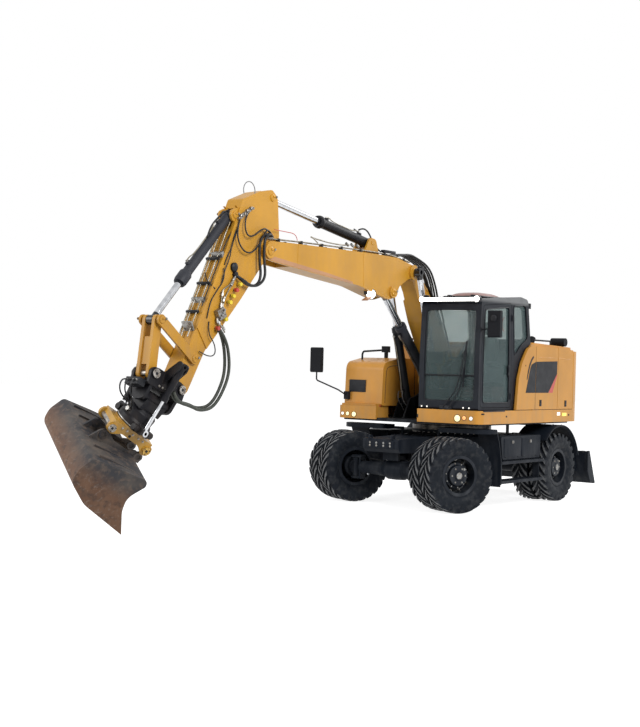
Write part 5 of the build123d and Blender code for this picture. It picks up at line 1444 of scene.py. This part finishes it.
STICK_LEFT = ARM_Y + 0.122
STICK_LEAN = 27
bm = bmesh.new()
for pin, boss, cap, half, radius in ((STICK_HEEL, 0.1225, 0.048, 0.118, 0.030),
                                     (CURL_FOOT, 0.1085, 0.044, 0.105, 0.028)):
    pin_caps(bm, pin, boss, cap)
    cross_pin(bm, pin, half, radius, 20)
piece("stick_pins", bm, [arm_yellow, zinc], "stick")
bm = bmesh.new()
for pin in (LEVER, LINK_TOP):
    pin_caps(bm, pin, 0.1565, 0.044)
    cross_pin(bm, pin, 0.152, 0.030, 20, 1)
piece("lever_pins", bm, [arm_yellow, zinc], "guide_levers")

tip_routes = []
for y, bow in ((0.010, 0.0), (0.044, -0.05)):
    tip_routes.append([(4.50, -0.035, 3.610), (4.62, y, 3.640), (4.80 + bow, y, 3.560),
                       (4.80 + bow, y, 3.300), (4.775 + bow, y + 0.02, 3.080), (4.86, y + 0.02, 2.960),
                       (5.00, y, 2.950), (5.13, y, 3.010), (5.215, STICK_LEFT + 0.03, 3.070)])
flexing("tip_hoses", tip_routes, 0.034)
thin_routes = [[(4.48, -0.03, 3.600), (4.60, 0.0, 3.680), (4.69, 0.015, 3.660), (4.80, 0.02, 3.500),
                (4.93, 0.02, 3.370), (5.08, 0.01, 3.350), (5.21, 0.0, 3.480), (5.20, -0.02, 3.660),
                (5.13, -0.03, 3.790)],
               [(4.48, -0.04, 3.600), (4.66, 0.01, 3.700), (4.80, 0.02, 3.660), (4.93, 0.02, 3.570),
                (5.04, 0.01, 3.560), (5.09, 0.0, 3.680), (5.03, -0.02, 3.830), (4.94, -0.03, 3.905)],
               [(4.50, -0.30, 3.600), (4.66, -0.31, 3.680), (4.86, -0.32, 3.560), (5.05, -0.32, 3.400),
                (5.20, -0.30, 3.520), (5.22, -0.29, 3.700)],]
flexing("heel_hoses", thin_routes, 0.020)

bm = bmesh.new()
for x, z, size in ((5.129, 3.800, 0.026), (5.165, 3.770, 0.020), (4.935, 3.915, 0.024),
                   (5.01, 3.875, 0.026), (5.06, 3.830, 0.020)):
    add_turned(bm, facing((x, STICK_LEFT, z), (0, 1, 0)),
               [(0, 0), (size, 0), (size, 0.040), (size * 0.6, 0.046), (size * 0.6, 0.062),
                (0, 0.062)], 6, 0)
add_block(bm, moved(5.04, STICK_LEFT + 0.012, 3.850) @ spun(30, "Y"), (0.24, 0.030, 0.040), 0.004, 0)
add_block(bm, moved(5.486, STICK_LEFT + 0.035, 2.583) @ spun(28, "Y"), (0.13, 0.070, 0.13), 0.006, 0)
for k in range(4):
    add_turned(bm, facing((5.455 + 0.02 * k, STICK_LEFT + 0.070, 2.63 - 0.032 * k), (0, 1, 0)),
               [(0, 0), (0.016, 0), (0.016, 0.016), (0, 0.018)], 6, 0)
add_block(bm, moved(5.40, ARM_Y + 0.03, 3.275) @ spun(STICK_LEAN, "Y"), (0.050, 0.18, 0.14), 0.006, 0)
add_block(bm, moved(5.700, ARM_Y, 2.725) @ spun(STICK_LEAN, "Y"), (0.040, 0.20, 0.10), 0.006, 0)
add_block(bm, moved(5.885, ARM_Y + 0.02, 2.375) @ spun(STICK_LEAN, "Y"), (0.020, 0.16, 0.22), 0.004, 0)
for x, z, lean in ((5.245, 3.020, -0.8), (5.275, 2.960, -0.8), (5.452, 2.830, -0.2), (5.425, 2.760, -0.3),
                   (5.470, 2.680, -0.1), (5.500, 2.480, 0.1), (5.535, 2.500, 0.2), (5.420, 2.415, 0.8)):
    add_turned(bm, facing((x, STICK_LEFT + 0.030, z), (lean, 0, 1)),
               [(0, -0.032), (0.019, -0.032), (0.019, 0.012), (0.015, 0.018), (0.015, 0.032),
                (0, 0.032)], 6, 0)
add_turned(bm, facing((5.227, STICK_LEFT, 3.166), (0, 1, 0)),
           [(0, 0), (0.056, 0), (0.056, 0.030), (0.040, 0.044), (0.016, 0.050), (0, 0.050)], 28, 1)
add_turned(bm, facing((5.205, STICK_LEFT, 3.075), (0, 1, 0)),
           [(0, 0), (0.040, 0), (0.040, 0.036), (0, 0.042)], 8, 1)
piece("stick_fittings", bm, [zinc, trim_black], "stick")


def beside_stick(routes):
    """Routes given as x, distance outward from the stick's left plate, and z."""
    return [[(x, STICK_LEFT + out, z) for x, out, z in route] for route in routes]


side_pipes = [[(5.20, 0.03, 3.070), (5.27, 0.034, 2.99), (5.34, 0.03, 2.93), (5.44, 0.026, 2.88),
               (5.46, 0.026, 2.78), (5.470, 0.03, 2.64)],
              [(5.21, 0.02, 3.050), (5.29, 0.022, 2.92), (5.37, 0.022, 2.82), (5.42, 0.024, 2.72),
               (5.450, 0.03, 2.62)],
              [(5.51, 0.03, 2.520), (5.50, 0.03, 2.46), (5.43, 0.03, 2.42), (5.39, 0.03, 2.36)],]
face_pipes = []
for y in (-0.255, -0.215, -0.115):
    face_pipes.append([(5.22, y, 3.74), (5.30, y, 3.60), (5.41, y, 3.36), (5.565, y, 3.05), (5.72, y, 2.75),
                       (5.88, y, 2.44), (5.955, y, 2.29)])
hoses("stick_pipes", beside_stick(side_pipes) + face_pipes, 0.019, steel_line, "stick")
bm = bmesh.new()
for x, z in ((5.465, 3.255), (5.62, 2.945), (5.80, 2.595)):
    add_block(bm, moved(x, ARM_Y - 0.012, z) @ spun(STICK_LEAN, "Y"), (0.034, 0.19, 0.034), 0.005)
piece("stick_clamps", bm, trim_black, "stick")
small_lines = [[(5.40, 0.004, 3.180), (5.36, 0.02, 3.30), (5.27, 0.02, 3.42), (5.25, 0.01, 3.52),
                (5.20, 0.01, 3.62)],
               [(5.604, -0.122, 3.074), (5.66, -0.062, 3.00), (5.62, -0.022, 2.93), (5.56, 0.01, 2.88)],
               [(5.43, 0.02, 3.14), (5.40, 0.03, 3.02), (5.56, 0.02, 2.84), (5.66, 0.01, 2.70),
                (5.70, 0.01, 2.52)],
               [(5.66, 0.01, 2.48), (5.70, 0.03, 2.34), (5.58, 0.04, 2.22), (5.56, 0.04, 2.08),
                (5.70, 0.03, 2.06), (5.82, 0.01, 2.12)],
               [(5.16, 0.01, 3.66), (5.30, 0.03, 3.44), (5.33, 0.03, 3.26), (5.44, 0.03, 3.08),
                (5.46, 0.02, 2.94)],
               [(5.24, -0.014, 3.62), (5.33, -0.014, 3.50), (5.40, -0.014, 3.38), (5.55, -0.014, 3.09),
                (5.66, -0.014, 2.88), (5.77, -0.014, 2.66)],]
hoses("stick_small_lines", beside_stick(small_lines), 0.014, hose_rubber, "stick")
loop = [(4.932 + 0.112 * math.cos(math.radians(a)), -0.07, 4.140 + 0.112 * math.sin(math.radians(a)))
        for a in range(-25, 206, 15)]
hoses("heel_wire_loop", [loop], 0.012, grey_hose, "stick")

cap_yellow = two_tone("cap_yellow", (0.80, 0.62, 0.04), (0.62, 0.48, 0.05), (30, 0.4, 0.7), 0.4)
bm = bmesh.new()
for k, (x, z, finish) in enumerate(((5.135, 2.965, 0), (5.200, 2.890, 1), (5.258, 2.815, 0),
                                    (5.318, 2.735, 0), (5.529, 2.410, 1), (5.390, 2.525, 0))):
    place = facing((x, STICK_LEFT, z), (0.15, 1, -0.1))
    add_turned(bm, place, round_bar(0.018, 0, 0.040), 12, 2)
    add_turned(bm, place, [(0.026, 0.026), (0.026, 0.064), (0.022, 0.072), (0, 0.072), (0, 0.03)], 20, finish)
piece("quick_couplings", bm, [cap_yellow, stripe_red, zinc], "stick")

# --- Quick hitch and tilting rotator ------------------------------------------------------------
# Black-enamelled castings and welded plate: a quick hitch with steel bosses on its pins, a worm-driven
# ring and two short tilt cylinders. Hoses pass from the stick to a black valve box on top.

HITCH = Matrix(((0.918, 0, -0.396, 6.360), (0, 1, 0, ARM_Y), (0.396, 0, 0.918, 1.755), (0, 0, 0, 1)))
TILTED = HITCH @ moved(0, 0, -0.235) @ spun(-35, "X")
TURNED = TILTED @ spun(-12.5, "Z")
HITCH_PINS = (-0.2396, 0.2396)
LOWER_PINS = (-0.272, 0.272)
hitch_black = paint("hitch_black", (0.010, 0.010, 0.013), 0.4, (0.07, 0.055, 0.045), 0.5, 3.0,
                    1.0, shine=0.15)
dress(hitch_black, "coupler_head", "rotator_housing", "tilt_barrel_left", "tilt_barrel_right")
worn_steel = two_tone("worn_steel", (0.42, 0.40, 0.37), (0.20, 0.17, 0.14), (22, 0.4, 0.65), 0.36, 0.9)


def in_hitch(point):
    """Point in space of a place measured from the middle of the hitch's pins."""
    return tuple(HITCH @ Vector(point))


def add_boss(bm, place, radius, steel=0):
    """Steel ring with a square drive hole in its middle and three small screws."""
    add_turned(bm, place,
               [(radius, -0.004), (radius, 0.008), (radius * 0.93, 0.014), (radius * 0.62, 0.014),
                (radius * 0.56, 0.008), (0, 0.008)], 36, steel)
    add_block(bm, place @ moved(0, 0, 0.008), (radius * 0.62, radius * 0.62, 0.004), 0.001, 1)
    for k in range(3):
        turn = place @ spun(40 + 120 * k, "Z") @ moved(radius * 0.78, 0, 0.013)
        add_bolt(bm, turn, 0.010, 0.005, 1)


bm = bmesh.new()
for x in HITCH_PINS:
    for side in (-1, 1):
        add_boss(bm, HITCH @ facing((x, side * 0.168, 0), (0, side, 0)), 0.056)
    add_turned(bm, HITCH @ facing((x, 0, 0), (0, 1, 0)), round_bar(0.036, -0.115, 0.115), 28, 0)
for side in (-1, 1):
    for x in (-0.12, -0.06, 0.00, 0.06, 0.12):
        add_bolt(bm, HITCH @ facing((x, side * 0.150, -0.105), (0, side, 0)), 0.022, 0.012, 0)
piece("hitch_bosses", bm, [worn_steel, trim_black], "coupler_head")
bm = bmesh.new()
add_block(bm, HITCH @ moved(0.358, 0.0, -0.160), (0.110, 0.220, 0.090), 0.010, 0)
add_block(bm, HITCH @ moved(0.00, 0.0, -0.085), (0.200, 0.190, 0.058), 0.008, 0)
for y in (-0.07, -0.02, 0.03, 0.08):
    add_turned(bm, HITCH @ facing((0.02, y, -0.056), (0, 0, 1)),
               [(0.017, 0), (0.017, 0.026), (0.011, 0.034), (0, 0.034)], 6, 1)
    add_turned(bm, HITCH @ facing((0.413, y, -0.160), (1, 0, 0.1)),
               [(0.012, 0), (0.012, 0.020), (0, 0.022)], 6, 1)
piece("hitch_valves", bm, [trim_black, zinc], "coupler_head")

loop_green = paint("loop_green", (0.018, 0.024, 0.016), 0.55, (0.10, 0.10, 0.08), 0.5, 3.0, 1.0)
hitch_routes = []
for y, drop in ((-0.02, 0.0), (0.03, 0.025)):
    hitch_routes.append([(5.53, STICK_LEFT + 0.03, 2.430), (5.42, y, 2.300), (5.36 - drop, y, 2.000),
                         (5.40 - drop, y, 1.760), (5.60, y, 1.480 - drop), (5.86, y, 1.440 - drop),
                         (6.02, y, 1.500 - drop), in_hitch((-0.17, y + 0.17, -0.17 - drop * 0.2)),
                         in_hitch((-0.08, y + 0.17, -0.090))])
flexing("hitch_hoses", hitch_routes, 0.040,
        loop_green)
rotor_routes = []
for y in (-0.06, 0.00, 0.06):
    rotor_routes.append([in_hitch(p)
                         for p in ((0.410, y, -0.160), (0.470, y * 1.3, -0.160), (0.500, y * 1.4, -0.240),
                                   (0.460, y * 1.3, -0.330),
                                   (0.360, y,
                                    -0.380))] + [tuple(TILTED @ Vector((0.205, y - 0.03, -0.200)))])
flexing("rotor_hoses", rotor_routes, 0.018)
bm = bmesh.new()
for k in range(16):
    turn = TILTED @ spun(22.5 * k, "Z")
    add_bolt(bm, turn @ moved(0.168, 0, -0.1725), 0.020, 0.010, 1)
add_turned(bm, TILTED @ moved(0, 0, -0.330),
           [(0.2152, -0.030), (0.2175, -0.030), (0.2175, -0.018), (0.2152, -0.018)], 56, 1)
for side in (-1, 1):
    place = TILTED @ facing((0, side * 0.213, -0.328), (1, 0, 0))
    add_turned(bm, place,
               [(0, -0.16), (0.040, -0.16), (0.046, -0.12), (0.046, 0.12), (0.040, 0.16), (0, 0.16)], 24, 0)
    add_turned(bm, TILTED @ facing((side * 0.205, 0, -0.235), (side, 0, 0)),
               [(0, -0.03), (0.030, -0.03), (0.030, 0.016), (0, 0.018)], 6, 1)
piece("rotator_fittings", bm, [hitch_black, zinc], "rotator")

# --- Lower coupler ------------------------------------------------------------------------------
# Welded plate in yellow: two cheeks with a hook at the back and a sliding lock at the front, which hold
# the bucket's pins. Paint has worn off the edges, and the grease points are brass.

coupler_yellow = paint("coupler_yellow", (0.56, 0.30, 0.03), 0.4, (0.14, 0.09, 0.05), 0.8, 2.0, 0.8, coat=0.2)
dress(coupler_yellow, "rotor_coupler")
brass = two_tone("brass", (0.55, 0.36, 0.10), (0.30, 0.18, 0.06), (30, 0.4, 0.65), 0.35, 1.0)
bm = bmesh.new()
for x in LOWER_PINS:
    for side in (-1, 1):
        add_boss(bm, TURNED @ facing((x, side * 0.206, -0.490), (0, side, 0)), 0.050, 2 if x < 0 else 0)
for side in (-1, 1):
    for x in (-0.16, -0.09, 0.0, 0.09, 0.16):
        add_bolt(bm, TURNED @ facing((x, side * 0.190, -0.425), (0, side, 0)), 0.020, 0.010, 0)
    add_turned(bm, TURNED @ facing((0.02, side * 0.190, -0.462), (0, side, 0)),
               round_bar(0.018, -0.002, 0.001), 24, 1)
for x in LOWER_PINS:
    add_turned(bm, TURNED @ facing((x, 0, -0.490), (0, 1, 0)), round_bar(0.033, -0.200, 0.200), 28, 0)
piece("lower_coupler_fittings", bm, [worn_steel, trim_black, brass], "tool")

# --- Bucket -------------------------------------------------------------------------------------
# Wide ditching bucket rolled from wear plate. The black paint survives on its back and top; soil has
# scoured the inside, the cheeks and the lip, which have rusted brown and gone bright in streaks.

rust, tree, shader = new_finish("bucket_rust", 0.72)
place = tree.nodes.new("ShaderNodeTexCoord")


def local_height(axis, low, high):
    """Share that goes from 0 at low to 1 at high along one of the turned coupler's axes."""
    direction = TURNED.to_3x3().col[axis]
    dot = tree.nodes.new("ShaderNodeVectorMath")
    dot.operation = "DOT_PRODUCT"
    dot.inputs[1].default_value = direction
    tree.links.new(place.outputs["Object"], dot.inputs[0])
    ramp = tree.nodes.new("ShaderNodeMapRange")
    base = direction.dot(TURNED.translation)
    ramp.inputs["From Min"].default_value = base + low
    ramp.inputs["From Max"].default_value = base + high
    tree.links.new(dot.outputs["Value"], ramp.inputs["Value"])
    return ramp.outputs["Result"]


scour = mixed(tree, (0.105, 0.048, 0.024), (0.160, 0.085, 0.048),
              blotches(tree, 3.5, 0.35, 0.65, stretch=(1, 1, 0.5)))
scour = mixed(tree, scour, (0.050, 0.026, 0.016), blotches(tree, 12, 0.5, 0.72))
scour = mixed(tree, scour, (0.28, 0.22, 0.18),
              times(tree, blotches(tree, 30, 0.56, 0.72, stretch=(1, 0.25, 1)), 0.45))
faded = mixed(tree, (0.018, 0.018, 0.022), (0.085, 0.072, 0.062), blotches(tree, 2.6, 0.42, 0.66))
faded = mixed(tree, faded, (0.14, 0.10, 0.075), times(tree, blotches(tree, 16, 0.5, 0.7), 0.6))
toward_top = local_height(2, -1.02, -0.80)
tree.links.new(mixed(tree, scour, faded, toward_top), shader.inputs["Base Color"])
rough_skin(tree, shader, 60, 0.35, 0.004)
dress(rust, "bucket")
bucket_black = paint("bucket_black", (0.020, 0.020, 0.024), 0.5, (0.12, 0.085, 0.06), 0.8, 2.0, 0.6)
edge_bright = two_tone("lip_steel", (0.20, 0.12, 0.08), (0.34, 0.30, 0.27), (9, 0.42, 0.62), 0.42, 0.7)
bm = bmesh.new()
add_block(bm, TURNED @ moved(-0.352, 0, -1.3136) @ spun(-6.1, "Y"), (0.192, 1.426, 0.014), 0.003)
piece("bucket_edge", bm, edge_bright, "tool")
bm = bmesh.new()
for y in (-0.138, 0.138):
    for x in LOWER_PINS:
        for side in (-1, 1):
            add_turned(bm, TURNED @ facing((x, y + side * 0.014, -0.620), (0, side, 0)),
                       [(0.030, -0.001), (0.058, -0.001), (0.058, 0.008), (0.030, 0.008)], 30)
for y in (-0.60, -0.36, 0.36, 0.60):
    add_block(bm, TURNED @ moved(0.16, y, -0.706) @ spun(7, "Y"), (0.46, 0.016, 0.040), 0.003)
piece("bucket_supports", bm, bucket_black, "tool")
blank_plate = paint("blank_plate", (0.42, 0.44, 0.46), 0.4, (0.2, 0.18, 0.15), 0.4, 2.0, 0.8)
bm = bmesh.new()
add_block(bm, TURNED @ moved(0.05, 0.30, -0.684) @ spun(7, "Y"), (0.13, 0.09, 0.004), 0.001)
piece("bucket_plate", bm, blank_plate, "tool")
